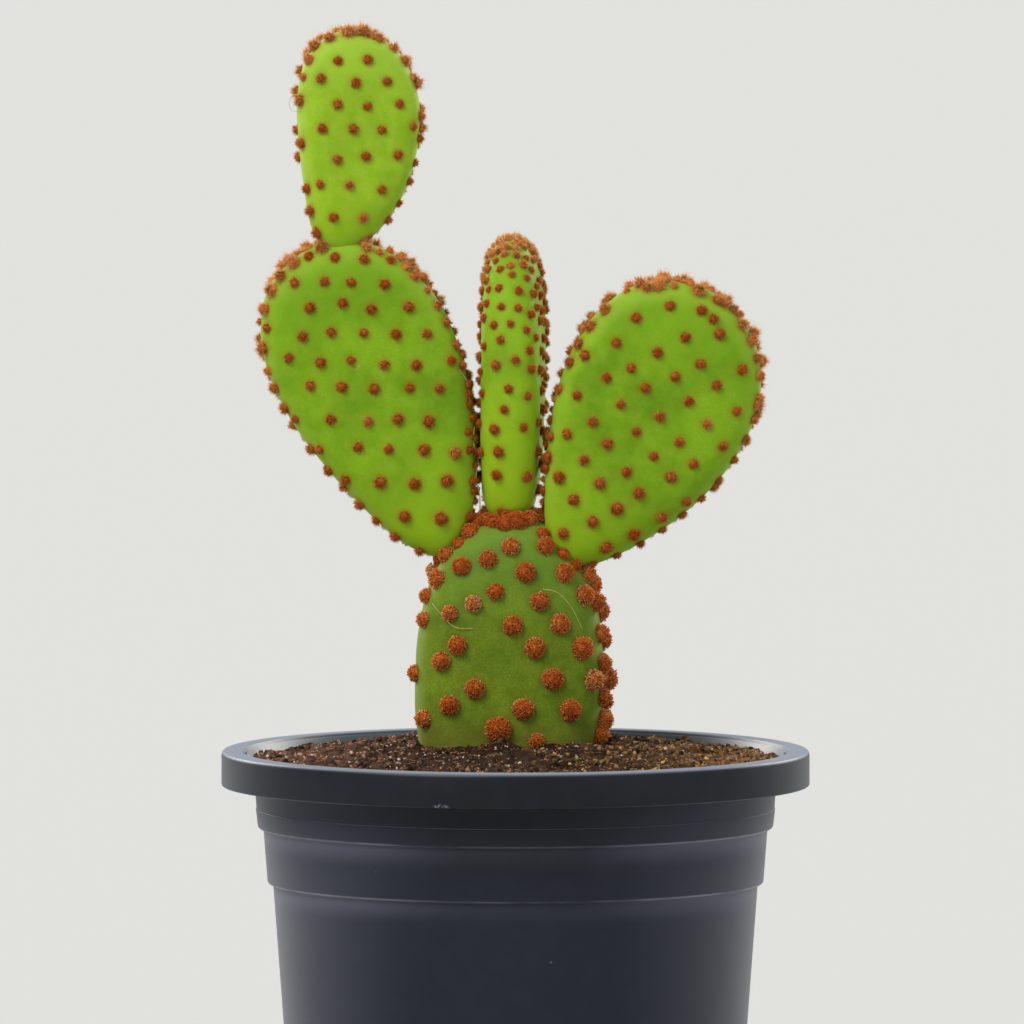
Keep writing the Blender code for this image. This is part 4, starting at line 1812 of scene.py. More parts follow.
@dataclass
class BristleCut:
    """How the bristles of a tuft are cut: how many, how thick and how unruly.

    Attributes:
        per_tuft: bristles in a tuft of middling size.
        thickness: radius of a bristle at its root.
        breadth: how far they reach sideways, as a share of the tuft's size.
        rise: how far they reach outward, as a share of the tuft's size.
        unruly: spread of their lengths and directions.
        root_share: how far out they are rooted, as a share of their reach.
        core_share: size of the dense middle, as a share of the tuft's.
        core_shade: tone of the middle at its foot, and how much lighter its top is; below zero the top is
            painted darker as shade.
        lowest: how far down the lowest of them point, as the sine of the angle.
        blunt: whether the bristles thicken towards their tips.
        core_sides: sides of the dense middle.
        core_foot: height of its flat foot, as a share of its size.
        pale_tufts: share of the tufts that are paler.
        pale_tone: how much paler those are.
        tuft_tones: how far the other tufts vary in tone.
        fewest: bristles in the smallest tuft.
        thick_spread: how much the bristles vary in thickness, as a share.
        loose_length: how much more the lengths of loose ones vary, as a share.
        loose_stray: how much further loose ones stray, as a share.
        loose_rise: how much further loose ones rise, as a share.
        stray: how far a bristle strays, as a share of its unruliness.
        lumpy: how uneven the dense middles of loose tufts are.
        crumpled: how far the corners of a dense middle are moved, as a share of its size.
        sunk: how deep they are rooted.
        tone: lowest tone of a bristle, and what leaning down, looseness and chance add to it; the first two
            are painted light: upright bristles stay darker as shade in the middle, and loose ones paler as a
            backlight glow.
    """

    per_tuft: int
    thickness: float
    breadth: float
    rise: float
    unruly: float
    root_share: float
    core_share: float
    core_shade: tuple[float, float]
    lowest: float
    blunt: bool = False
    core_sides: int = 8
    core_foot: float = -0.3
    pale_tufts: float = 0.05
    pale_tone: float = 0.40
    tuft_tones: float = 0.12
    fewest: int = 12
    thick_spread: float = 0.30
    loose_length: float = 1.5
    loose_stray: float = 2.0
    loose_rise: float = 0.20
    stray: float = 0.5
    lumpy: float = 0.22
    crumpled: float = 0.12
    sunk: float = 0.0001
    tone: tuple[float, float, float, float] = (0.04, 0.32, 0.60, 0.22)

    def bristle(self) -> Piece:
        """One bristle: a three-sided spike one unit long, or one with its thick end outward.

        Returns:
            The spike.
        """
        root, end = (0.0, 1.0) if self.blunt else (1.0, 0.0)
        return new_piece(
            "bristle",
            bpy.ops.mesh.primitive_cone_add,
            vertices=3,
            radius1=root,
            radius2=end,
            depth=1.0,
            end_fill_type="NGON",
            location=(0, 0, 0.5),
        )

    def core(self, random: Random) -> Piece:
        """The dense middle of a tuft: a crumpled low dome.

        Args:
            random: the generator of its corners.

        Returns:
            The dome, about one unit in radius.
        """
        add = bpy.ops.mesh.primitive_uv_sphere_add
        dome = new_piece("tuft_core", add, segments=self.core_sides, ring_count=6, radius=1.0)
        foot = (0.0, 0.0, self.core_foot)
        with edit_mode(dome):
            bpy.ops.mesh.bisect(plane_co=foot, plane_no=(0.0, 0.0, 1.0), use_fill=True, clear_inner=True)
        outward_normals(dome)
        crumple(dome, self.crumpled, random)
        return dome

    def bristle_tones(self, rise: Array, loose: Array, owner: Array, random: Random) -> Array:
        """How pale each bristle is.

        Args:
            rise: how far up each one points, as a sine.
            loose: how unruly each one is, which paints it paler as a backlight glow, and darker as shade
                below 0.
            owner: the number of the tuft that each one is part of.
            random: the generator of the bristles.

        Returns:
            A tone for each bristle, from dark to pale.
        """
        tufts = owner[-1] + 1
        of_tufts = random.uniform(-self.tuft_tones, self.tuft_tones, tufts)
        of_tufts = of_tufts + self.pale_tone * (random.uniform(0, 1, tufts) < self.pale_tufts)
        least, leaning, unruly, chance = self.tone
        # Painted light: upright bristles of the middle stay darker as shade; leaning ones are lighter, and
        # loose ones paler as a backlight glow.
        outer = least + leaning * (1 - rise) + unruly * loose + random.normal(0.0, chance, len(rise))
        return np.clip(of_tufts[owner] + outer, 0.02, 0.98)

    def grow(self, name: str, tufts: TuftSet, random: Random) -> Piece:
        """Grows all the bristles of a pad, and the cores under them.

        Args:
            name: the piece's name.
            tufts: where the tufts are.
            random: the generator of the bristles.

        Returns:
            One mesh with every bristle.
        """
        share = (tufts.sizes / tufts.sizes.mean()) ** 2
        counts = np.maximum(self.fewest, (self.per_tuft * share).astype(int))
        owner = np.repeat(np.arange(len(counts)), counts)
        total = len(owner)
        upright = frames_along(tufts.directions, random)[owner]
        rise = random.uniform(self.lowest, 1.0, total)
        bearing = random.uniform(0, 2 * math.pi, total)
        loose = tufts.loose[owner]
        size = tufts.sizes[owner]
        reach = 1 + random.normal(0.0, self.unruly, total) * (1 + self.loose_length * loose)
        stray = random.normal(0.0, self.unruly * self.stray, (total, 3))
        stray = stray * (size * (1 + self.loose_stray * loose))[:, None]
        radial = np.stack([np.cos(bearing), np.sin(bearing), np.zeros(total)], axis=-1)
        axis = np.array([0.0, 0.0, 1.0])
        wide = np.sqrt(1 - rise**2) * size * self.breadth
        tall = rise * size * self.rise * (1 + self.loose_rise * loose)
        tip = radial * (reach * wide)[:, None] + axis * (reach * tall)[:, None] + stray
        root = radial * (wide * self.root_share)[:, None]
        root = root + axis * (tall * self.root_share - self.sunk)[:, None]
        run = np.einsum("cij,cj->ci", upright, tip - root)
        length = np.linalg.norm(run, axis=1, keepdims=True)
        thick = self.thickness * random.uniform(1 - self.thick_spread, 1 + self.thick_spread, total)
        turns = frames_along(run / length, random)
        scales = np.stack([thick, thick, length[:, 0]], axis=-1)
        places = tufts.places[owner] + np.einsum("cij,cj->ci", upright, root)
        tones = self.bristle_tones(rise, loose, owner, random)
        placing = Placing(turns * scales[:, None, :], places, tones)
        piece = scatter_copies(name, self.bristle(), placing, lambda points: points[:, 2], 0.03)
        cores = self.grow_cores(tufts, random)
        make_active(piece)
        cores.select_set(True)
        bpy.ops.object.join()
        return piece

    def grow_cores(self, tufts: TuftSet, random: Random) -> Piece:
        """Puts a dense middle under the bristles of each tuft.

        Args:
            tufts: where the tufts are.
            random: the generator of the bristles.

        Returns:
            One mesh with every core.
        """
        uneven = 1 + random.normal(0.0, self.lumpy, (len(tufts.sizes), 2)) * tufts.loose[:, None]
        wide = tufts.sizes * self.breadth * self.core_share * uneven[:, 0]
        tall = tufts.sizes * self.rise * self.core_share * (1 + self.loose_rise * tufts.loose)
        scales = np.stack([wide, wide, tall * uneven[:, 1]], axis=-1)
        turns = frames_along(tufts.directions, random) * scales[:, None, :]
        # Painted light: loose tufts get paler cores as a backlight glow, matted ones darker as shade.
        tones = random.uniform(0.1, 0.4, len(wide)) + 0.4 * tufts.loose
        placing = Placing(turns, tufts.places, tones)

        def shade(points: Array) -> Array:
            """Tone of a core at its own points; a gain below zero paints its top darker as shade."""
            foot, gain = self.core_shade
            return foot + gain * np.clip(points[:, 2], 0, 1)

        return scatter_copies("tuft_cores", self.core(random), placing, shade, 0.05)


@dataclass(frozen=True)
class StrayHair:
    """One loose hair or fibre caught on a pad.

    Attributes:
        name: what it is.
        pad: the pad that it clings to.
        course: places across and along that pad's front face, each with its height over the skin.
        thickness: its radius.
    """

    name: str
    pad: str
    course: tuple[tuple[float, float, float], ...]
    thickness: float = 0.00006

    def build(self, pad: PadForm, finish: HairFinish) -> Piece:
        """Draws the hair as a thin smooth strand.

        Args:
            pad: the pad that it clings to.
            finish: its look.

        Returns:
            The strand, as a mesh.
        """
        across, along, lift = np.array(self.course).T
        local = pad.face_points(across, along, -1)
        local[:, 1] -= lift
        places = pad.to_world(local)
        curve = bpy.data.curves.new(self.name, "CURVE")
        curve.dimensions = "3D"
        curve.bevel_depth = self.thickness
        curve.bevel_resolution = 1
        curve.use_fill_caps = True
        spline = curve.splines.new("NURBS")
        spline.points.add(len(places) - 1)
        for point, place in zip(spline.points, places):
            point.co = (*place, 1.0)
        spline.order_u = 3
        spline.use_endpoint_u = True
        strand = in_scene(self.name, curve)
        make_active(strand)
        bpy.ops.object.convert(target="MESH")
        outward_normals(strand)
        dress(strand, finish.material())
        return strand


@dataclass
class CactusPad:
    """One pad: its skin, with a dimple at each tuft, and its bristles."""

    form: PadForm
    skin: SkinFinish
    bristles: BristleFinish
    cut: BristleCut
    slot: str
    fineness: int = 5
    dimple_depth: float = 0.00012
    dimple_reach: float = 1.25
    halo_reach: float = 1.6
    lump_height: float = 0.00018
    lump_scale: float = 130.0
    seat_overlap: float = 0.0004

    def tuft_distance(self, points: Array, tufts: TuftSet) -> Array:
        """How near points are to a tuft.

        Args:
            points: the frame's points.
            tufts: the tufts of this pad.

        Returns:
            Distance to the nearest tuft, as a share of that tuft's size.
        """
        nearest = np.full(len(points), np.inf)
        for place, size in zip(tufts.places, tufts.sizes):
            nearest = np.minimum(nearest, np.linalg.norm(points - place, axis=1) / size)
        return nearest

    def relief(self, points: Array, tufts: TuftSet) -> Array:
        """How far the skin stands out from the plain form.

        Args:
            points: the frame's points.
            tufts: the tufts of this pad.

        Returns:
            A height for each point, below zero in a dimple.
        """
        dimples = np.exp(-((self.tuft_distance(points, tufts) / self.dimple_reach) ** 2))
        lumps = np.array([noise.noise(Vector(point) * self.lump_scale) for point in points])
        return self.lump_height * lumps - self.dimple_depth * dimples

    def seat(self, piece: Piece, carrier: PadForm | None) -> None:
        """Cuts the foot to the pad that carries it, a little below that pad's skin."""
        if carrier is not None:
            cut_away(piece, carrier.grown(-self.seat_overlap).body("seat_cutter", 4), "MANIFOLD")

    def build_skin(self, tufts: TuftSet, carrier: PadForm | None) -> Piece:
        """Models the skin and stores what its material reads.

        Args:
            tufts: the tufts that grow on it.
            carrier: the pad below, or None for the one that stands in the soil.

        Returns:
            The finished skin.
        """
        piece = self.form.body(f"{self.form.name}_skin", self.fineness)
        points = read_points(piece)
        outward = self.form.outward(self.form.to_local(points))
        write_points(piece, points + outward * self.relief(points, tufts)[:, None])
        self.seat(piece, carrier)
        smooth(piece, SOFT_ANGLE)
        points = read_points(piece)
        local = self.form.to_local(points)
        halo = 1 - np.clip(self.tuft_distance(points, tufts) / self.halo_reach, 0, 1)
        set_attribute(piece, "near_tuft", halo**1.5)
        set_attribute(piece, "toward_tip", local[:, 2] / self.form.length)
        set_attribute(piece, "toward_rim", self.form.rim_share(local[:, 0], local[:, 2]))
        dress(piece, self.skin.material())
        return piece

    def build(self, tufts: TuftSet, carrier: PadForm | None, random: Random) -> None:
        """Makes both pieces of the pad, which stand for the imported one.

        Args:
            tufts: the tufts that grow on it.
            carrier: the pad below, or None for the one that stands in the soil.
            random: the generator of the bristles.
        """
        skin = self.build_skin(tufts, carrier)
        bristles = self.cut.grow(f"{self.form.name}_tufts", tufts, random)
        dress(bristles, self.bristles.material())
        for piece in (skin, bristles):
            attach(piece, BODY)
            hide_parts(self.form.name)
            report(piece)


PAD_FORMS = (
    PadForm(
        name="base_pad",
        carrier="soil",
        foot=(-0.0019, 0.0, 0.0838),
        lean=1.1,
        nod=0.0,
        turn=0.0,
        length=0.0789,
        half_width=0.0208,
        half_depth=0.0120,
        taper=0.051,
        fullness=0.151,
        bow=-0.0003,
        bow_high=0.0,
        arch=0.0,
        rows=Rows(
            across=0.0100, widening=0.007, shift=-0.0007, drift=0.39, first=0.0060, pitch=0.0058,
            growth=0.008, slope=-0.24, bend=12.0, rim=0.0078, closest=0.0056, radius=0.0024,
        ),
    ),
    PadForm(
        name="left_pad",
        carrier="base_pad",
        foot=(-0.0149, -0.0010, 0.1533),
        lean=-23.8,
        nod=3.0,
        turn=-4.0,
        length=0.0749,
        half_width=0.0198,
        half_depth=0.0066,
        taper=0.316,
        fullness=0.017,
        bow=0.0007,
        bow_high=-0.0007,
        arch=0.0012,
        rows=Rows(
            across=0.0061, widening=0.016, shift=-0.0021, drift=0.29, first=0.0024, pitch=0.0054,
            growth=0.032, slope=-0.46, bend=1.0, rim=0.0054, closest=0.0038, radius=0.0016,
        ),
    ),
    PadForm(
        name="upper_left_pad",
        carrier="left_pad",
        foot=(-0.0398, -0.0048, 0.2206),
        lean=5.7,
        nod=-4.0,
        turn=10.0,
        length=0.0492,
        half_width=0.0134,
        half_depth=0.0056,
        taper=0.231,
        fullness=0.108,
        bow=0.0025,
        bow_high=-0.0014,
        arch=-0.0008,
        rows=Rows(
            across=0.0064, widening=0.012, shift=-0.0012, drift=0.55, first=0.0018, pitch=0.0044,
            growth=0.040, slope=0.09, bend=7.0, rim=0.0050, closest=0.0036, radius=0.0015,
        ),
    ),
    PadForm(
        name="middle_pad",
        carrier="base_pad",
        foot=(-0.0016, 0.0020, 0.1585),
        lean=0.8,
        nod=-3.0,
        turn=86.0,
        length=0.0647,
        half_width=0.0165,
        half_depth=0.0067,
        taper=0.22,
        fullness=0.05,
        bow=0.0,
        bow_high=0.0,
        arch=-0.0006,
        rows=Rows(
            across=0.0066, widening=0.0, shift=0.0, drift=0.42, first=0.0050, pitch=0.0054,
            growth=0.010, slope=0.30, bend=0.0, rim=0.0050, closest=0.0036, radius=0.0015,
        ),
    ),
    PadForm(
        name="right_pad",
        carrier="base_pad",
        foot=(0.0103, -0.0030, 0.1515),
        lean=28.1,
        nod=4.0,
        turn=6.0,
        length=0.0692,
        half_width=0.0209,
        half_depth=0.0066,
        taper=0.329,
        fullness=-0.047,
        bow=0.0015,
        bow_high=-0.0007,
        arch=0.0010,
        rows=Rows(
            across=0.0057, widening=0.006, shift=0.0028, drift=0.37, first=0.0042, pitch=0.0076,
            growth=0.0, slope=-0.55, bend=1.0, rim=0.0056, closest=0.0038, radius=0.0016,
        ),
    ),
)


# Soil


class CrumbKind(Enum):
    """What a crumb of the mix is."""

    PEAT = "peat_crumbs"
    BARK = "bark_crumbs"
    GRIT = "grit_grains"


@dataclass(frozen=True)
class CrumbMix:
    """How one kind of crumb lies on the soil.

    Attributes:
        kind: what the crumbs are.
        count: how many there are.
        smallest: least radius.
        largest: greatest radius.
        roughness: how far a crumb's corners are moved, as a share of its radius.
        sunk: how deep a crumb lies, as a share of its radius.
        lean: how much more of them lie on the left, from -1 to 1.
    """

    kind: CrumbKind
    count: int
    smallest: float
    largest: float
    roughness: float = 0.0
    sunk: float = 0.0
    lean: float = 0.0


@dataclass
class PottingSoil:
    """The soil bed with its loose crumbs and fibres."""

    pot: NurseryPot
    plant: PadForm
    edge_height: float = 0.1081
    crown_height: float = 0.1118
    crown_radius: float = 0.018
    gap: float = 0.0003
    wave: float = 0.0005
    wave_turns: tuple[float, float, float] = (330.0, 200.0, 430.0)
    rings: int = 48
    sides: int = 240
    lump_height: float = 0.0012
    lump_scale: float = 150.0
    crumb_height: float = 0.0006
    crumb_scale: float = 520.0
    zone_share: float = 0.46
    tone_spread: float = 0.29
    small_share: float = 2.5
    fibre_tilt: float = 0.18

    def edge_radius(self) -> float:
        """Radius of the bed where it meets the wall."""
        return self.pot.inner_radius(self.edge_height) - self.gap

    def level(self, x: Array, y: Array) -> Array:
        """Height of the bed's surface.

        Args:
            x: places across the pot.
            y: places from front to back.

        Returns:
            A height for each place.
        """
        radius = np.hypot(x, y)
        share = np.clip((radius - self.crown_radius) / (self.edge_radius() - self.crown_radius), 0, 1)
        fall = share**2 * (3 - 2 * share)
        height = self.crown_height + (self.edge_height - self.crown_height) * fall
        long_turns, skew_turns, short_turns = self.wave_turns
        waves = np.sin(long_turns * x + skew_turns * y) + np.cos(short_turns * y - long_turns * x)
        lumps = np.empty_like(x)
        for index, (across, deep) in enumerate(zip(x, y)):
            place = Vector((across, deep, 0.0))
            lumps[index] = self.lump_height * noise.noise(place * self.lump_scale)
            lumps[index] += self.crumb_height * noise.noise(place * self.crumb_scale)
        return height + self.wave * waves * (1 - share) + lumps

    def build_bed(self, finish: SoilFinish) -> Piece:
        """Models the bed: a turned solid with a rough top and a hole where the plant stands.

        Args:
            finish: the soil's look.

        Returns:
            The finished bed.
        """
        floor = self.pot.foot_ring_height + self.pot.floor_thickness + self.gap
        wall = self.pot.wall_corners(self.pot.wall + self.gap, floor, self.pot.flare_foot, 0.0)
        wall.insert(0, Corner(self.edge_radius(), self.edge_height))
        radii = np.linspace(0.0, wall[0].radius, self.rings + 1)[1:-1]
        outline = [(float(radius), self.crown_height) for radius in radii]
        outline += [(corner.radius, corner.height) for corner in wall]
        outline.append((0.004, floor))
        bed = turn_solid("soil_bed", outline, self.sides)
        points = read_points(bed)
        top = points[:, 2] > self.edge_height - self.gap
        points[top, 2] = self.level(points[top, 0], points[top, 1])
        write_points(bed, points)
        cut_away(bed, self.plant.grown(-self.gap).body("plant_hole", 4), "MANIFOLD")
        smooth(bed, SOFT_ANGLE)
        dress(bed, finish.material())
        return bed

    def crumb_places(self, mix: CrumbMix, random: Random) -> Array:
        """Picks places over the bed, clear of the plant.

        Args:
            mix: how the crumbs lie.
            random: the generator of the places.

        Returns:
            Points on the bed's surface.
        """
        tries = mix.count * 3
        radius = (self.edge_radius() - 2 * self.gap) * np.sqrt(random.uniform(0, 1, tries))
        bearing = random.uniform(0, 2 * math.pi, tries)
        x = radius * np.cos(bearing)
        y = radius * np.sin(bearing)
        leaning = random.uniform(-1, 1, tries) < mix.lean * -x / self.edge_radius() + (1 - abs(mix.lean))
        x, y = x[leaning], y[leaning]
        flat = np.stack([x, y, np.full_like(x, self.crown_height)], axis=-1)
        clear = self.plant.clearance(flat, self.gap)
        x, y = x[clear][: mix.count], y[clear][: mix.count]
        return np.stack([x, y, self.level(x, y)], axis=-1)

    def crumb(self, mix: CrumbMix, random: Random) -> Piece:
        """One crumb, one unit in radius, with its corners moved at random.

        Args:
            mix: how rough the crumbs are.
            random: the generator of its corners.

        Returns:
            The crumb.
        """
        add = bpy.ops.mesh.primitive_uv_sphere_add
        shape = new_piece("crumb", add, segments=4, ring_count=3, radius=1.0)
        crumple(shape, mix.roughness, random)
        return shape

    def build_crumbs(self, mix: CrumbMix, finish: CrumbFinish, random: Random) -> Piece:
        """Scatters one kind of crumb over the bed.

        Args:
            mix: how the crumbs lie.
            finish: their look.
            random: the generator of places, turns and sizes.

        Returns:
            One mesh with every crumb.
        """
        places = self.crumb_places(mix, random)
        count = len(places)
        size = mix.smallest + (mix.largest - mix.smallest) * random.uniform(0, 1, count) ** self.small_share
        directions = random.normal(0.0, 1.0, (count, 3))
        directions /= np.linalg.norm(directions, axis=1, keepdims=True)
        stretch = size[:, None] * random.uniform(0.65, 1.25, (count, 3))
        turns = frames_along(directions, random) * stretch[:, None, :]
        places[:, 2] += size * (1 - mix.sunk) - size * 0.5
        zone = 0.5 + self.zone_share * places[:, 0] / self.edge_radius()
        tones = np.clip(zone + random.normal(0.0, self.tone_spread, count), 0.03, 0.97)
        placing = Placing(turns, places, tones)
        shape = self.crumb(mix, random)
        # The pattern's second coordinate follows each crumb's height, for its painted shade underneath.
        piece = scatter_copies(mix.kind.value, shape, placing, lambda points: 0.5 + points[:, 2] * 0.4, 0.03)
        dress(piece, finish.material())
        return piece

    def fibre(self) -> Piece:
        """One short bent fibre, one unit long, lying along X.

        Returns:
            The fibre.
        """
        shape = new_piece(
            "fibre",
            bpy.ops.mesh.primitive_cylinder_add,
            vertices=4,
            radius=0.075,
            depth=1.0,
            end_fill_type="NGON",
            rotation=(0, math.pi / 2, 0),
        )
        with edit_mode(shape):
            for share in (-0.25, 0.0, 0.25):
                bpy.ops.mesh.select_all(action="SELECT")
                bpy.ops.mesh.bisect(plane_co=(share, 0.0, 0.0), plane_no=(1.0, 0.0, 0.0))
        points = read_points(shape)
        points[:, 2] += 0.22 * (0.25 - points[:, 0] ** 2)
        points[:, 1] += 0.25 * points[:, 0] ** 2
        write_points(shape, points)
        return shape

    def build_fibres(self, finish: CrumbFinish, random: Random) -> Piece:
        """Scatters short bent fibres, most of them on the right.

        Args:
            finish: their look.
            random: the generator of places, turns and sizes.

        Returns:
            One mesh with every fibre.
        """
        mix = FIBRE_MIX
        places = self.crumb_places(mix, random)
        count = len(places)
        length = random.uniform(mix.smallest, mix.largest, count)
        bearing = random.uniform(0, 2 * math.pi, count)
        tilt = random.normal(0.0, self.fibre_tilt, count)
        level = np.stack([np.cos(bearing), np.sin(bearing)], axis=-1) * np.cos(tilt)[:, None]
        along = np.column_stack([level, np.sin(tilt)])
        side = np.cross(np.broadcast_to([0.0, 0.0, 1.0], along.shape), along)
        side /= np.linalg.norm(side, axis=1, keepdims=True)
        turns = np.stack([along, side, np.cross(along, side)], axis=-1) * length[:, None, None]
        places[:, 2] += self.gap
        placing = Placing(turns, places, random.uniform(0.1, 0.95, count))
        shape = self.fibre()
        piece = scatter_copies("soil_fibres", shape, placing, lambda points: np.full(len(points), 0.8), 0.03)
        dress(piece, finish.material())
        return piece


# Studio


@dataclass(frozen=True)
class SoftLight:
    """One broad even light from far away.

    Attributes:
        name: the light's name.
        bearing: where it comes from, in degrees to the right of the camera's side.
        elevation: how high it stands, in degrees.
        strength: its strength on a surface that faces it.
        softness: how wide it looks, in degrees.
        colour: its colour.
    """

    name: str
    bearing: float
    elevation: float
    strength: float
    softness: float
    colour: Colour

    def build(self) -> Piece:
        """Sets up the light, far enough away that the floor is lit evenly.

        Returns:
            The light.
        """
        side = math.radians(self.bearing)
        up = math.radians(self.elevation)
        source = Vector((math.sin(side) * math.cos(up), -math.cos(side) * math.cos(up), math.sin(up)))
        data = bpy.data.lights.new(self.name, "SUN")
        data.energy = self.strength
        data.angle = math.radians(self.softness)
        data.color = self.colour
        light = in_scene(self.name, data)
        light.location = source
        light.rotation_euler = source.to_track_quat("Z", "Y").to_euler()
        return light


@dataclass
class Studio:
    """Pale floor, soft lights and the camera at the photograph's angle."""

    elevation: float = math.radians(4.3)
    distance: float = 8.0
    rim_centre_pixel: tuple[float, float] = (515.5, 750.2)
    pixel_size: float = 0.130 / 588.5
    frame_pixels: int = 1024
    sensor: float = 36.0
    floor_size: float = 60.0
    lights: tuple[SoftLight, ...] = (
        SoftLight("key_light", -38.0, 42.0, 2.3, 30.0, (1.0, 0.98, 0.94)),
        SoftLight("fill_light", 50.0, 25.0, 0.5, 60.0, (0.96, 0.98, 1.0)),
        SoftLight("left_rim_light", -142.0, 24.0, 2.1, 25.0, (1.0, 0.97, 0.92)),
        SoftLight("right_rim_light", 140.0, 24.0, 2.1, 25.0, (1.0, 0.97, 0.92)),
    )
    sky: Colour = (0.88, 0.94, 1.0)
    sky_strength: float = 0.42

    def build_camera(self, pot_height: float) -> Piece:
        """Sets the camera so that the pot's rim lies where the photograph has it.

        Args:
            pot_height: height of the rim, whose middle's pixel is known.

        Returns:
            The camera.
        """
        middle = self.frame_pixels / 2
        across = (middle - self.rim_centre_pixel[0]) * self.pixel_size
        rise = (self.rim_centre_pixel[1] - middle) * self.pixel_size / math.cos(self.elevation)
        target = Vector((across, 0.0, pot_height + rise))
        back = Vector((0.0, -math.cos(self.elevation), math.sin(self.elevation)))
        data = bpy.data.cameras.new("camera")
        data.sensor_width = self.sensor
        data.lens = self.sensor * self.distance / (self.frame_pixels * self.pixel_size)
        data.clip_end = 200.0
        camera = in_scene("camera", data)
        camera.location = target + back * self.distance
        camera.rotation_euler = (math.pi / 2 - self.elevation, 0.0, 0.0)
        bpy.context.scene.camera = camera
        return camera

    def build_lights(self) -> None:
        """Sets up the lights and the sky."""
        for light in self.lights:
            light.build()
        world = bpy.data.worlds.new("studio")
        world.use_nodes = True
        sky = world.node_tree.nodes["Background"]
        sky.inputs["Color"].default_value = (*self.sky, 1.0)
        sky.inputs["Strength"].default_value = self.sky_strength
        bpy.context.scene.world = world

    def build_floor(self, finish: FloorFinish) -> Piece:
        """Lays the floor, which isn't part of the object.

        Args:
            finish: the floor's look.

        Returns:
            The floor.
        """
        floor = new_piece("studio_floor", bpy.ops.mesh.primitive_plane_add, size=self.floor_size)
        dress(floor, finish.material())
        return floor

    def build(self, pot_height: float, finish: FloorFinish) -> None:
        """Sets up the whole studio.

        Args:
            pot_height: height of the pot's rim.
            finish: the floor's look.
        """
        self.build_floor(finish)
        self.build_lights()
        self.build_camera(pot_height)
        bpy.context.scene.view_settings.view_transform = "Standard"


BASE_ROWS = (
    SlantRow((-0.0190, 0.0335), (0.0055, 0.0037), 3, 0.97),
    SlantRow((-0.0025, 0.0316), (0.0, 0.0), 1, 1.22),
    SlantRow((0.0033, 0.0372), (0.0062, 0.0063), 3, 1.05),
    SlantRow((0.0060, 0.0294), (0.0, 0.0), 1, 0.84),
    SlantRow((0.0134, 0.0363), (0.0052, 0.0061), 2, 1.03),
    SlantRow((-0.0206, 0.0437), (0.0045, 0.0030), 3, 0.90),
    SlantRow((0.0050, 0.0493), (0.0056, 0.0060), 3, 0.99),
    SlantRow((-0.0190, 0.0550), (0.0052, 0.0023), 4, 0.84),
    SlantRow((0.0004, 0.0555), (0.0058, 0.0054), 3, 0.97),
    SlantRow((-0.0190, 0.0608), (0.0023, 0.0048), 3, 0.81),
    SlantRow((-0.0165, 0.0642), (0.0054, 0.0027), 4, 0.91),
    SlantRow((0.0023, 0.0665), (0.0043, 0.0059), 2, 0.97),
    SlantRow((-0.0102, 0.0744), (0.0, 0.0), 1, 0.84),
)
LEFT_ROWS = (SlantRow((-0.0010, 0.0732), (0.0055, -0.0025), 4, 1.02),)
RIGHT_ROWS = (
    SlantRow((-0.0117, 0.0580), (0.0045, 0.0043), 2, 1.0),
    SlantRow((0.0, 0.0647), (0.0065, -0.0024), 2, 1.05),
)
# A collar_loose below 0 paints the collar tufts darker, as shade at the joint.
SIDE_FLUFF = Fluff(
    tip_swell=0.15,
    collar_spacing=0.0030,
    collar_size=0.0019,
    collar_loose=-0.5,
    clump=1.0,
)
FLUFF = {
    "base_pad": Fluff(
        tip_spacing=0.0038,
        side_spacing=0.0038,
        border_spacing=0.0048,
        left_share=0.0,
        left_kept=0.0,
        shag=0.15,
        front_share=0.97,
        front_rows=BASE_ROWS,
    ),
    "left_pad": replace(
        SIDE_FLUFF,
        tip_spacing=0.0023,
        side_spacing=0.0054,
        left_kept=0.8,
        low_swell=0.30,
        crown_turn=0.28,
        front_rows=LEFT_ROWS,
    ),
    "upper_left_pad": Fluff(
        tip_spacing=0.0025,
        side_spacing=0.0060,
        tip_swell=0.20,
        collar_spacing=0.0024,
        collar_front=0.3,
        left_kept=0.6,
        crown_turn=0.35,
        clump=0.7,
    ),
    "middle_pad": Fluff(crusted=False, collar_size=0.0023, collar_reach=0.0034, collar_loose=-0.6),
    "right_pad": replace(
        SIDE_FLUFF,
        tip_spacing=0.0030,
        side_spacing=0.0052,
        left_kept=0.7,
        low_swell=0.25,
        front_rows=RIGHT_ROWS,
        front_clear=0.0039,
    ),
}
GAP_FLUFF = Fluff(collar_reach=0.0030, collar_loose=-0.2)
MIDDLE_SCATTER = LooseScatter(tip_spacing=0.0012, foot_spacing=0.0062, size=0.0015)
YOUNG_SKIN = SkinFinish(
    name="young_skin",
    deep=(0.125, 0.265, 0.003),
    fresh=(0.205, 0.390, 0.006),
    pale=(0.35, 0.52, 0.045),
    halo=(0.340, 0.170, 0.008),
    foot=(0.270, 0.440, 0.008),
    crown=(0.165, 0.345, 0.008),
    scar=(0.66, 0.62, 0.20),
    grain_scale=2600.0,
    grain_share=0.10,
    dust=0.015,
    sheen=0.18,
    rim_share=0.45,
    scar_spots=((-0.0340, -0.0075, 0.1952), (-0.0345, -0.0075, 0.1775)),
)
# The middle pad's skin: hardly any painted rim glow, and brighter greens and foot, painted light where the
# other pads shade it.
EDGE_SKIN = replace(
    YOUNG_SKIN,
    name="edge_skin",
    deep=(0.145, 0.300, 0.003),
    fresh=(0.235, 0.430, 0.006),
    foot=(0.390, 0.600, 0.012),
    foot_span=(0.60, 0.10),
    rim_share=0.08,
    scar_spots=(),
)
FRESH_SKIN = replace(
    YOUNG_SKIN,
    name="fresh_skin",
    deep=(0.195, 0.360, 0.006),
    fresh=(0.285, 0.470, 0.012),
    pale=(0.45, 0.63, 0.09),
    foot=(0.270, 0.45, 0.008),
    crown=(0.300, 0.50, 0.035),
    scar_spots=(),
)
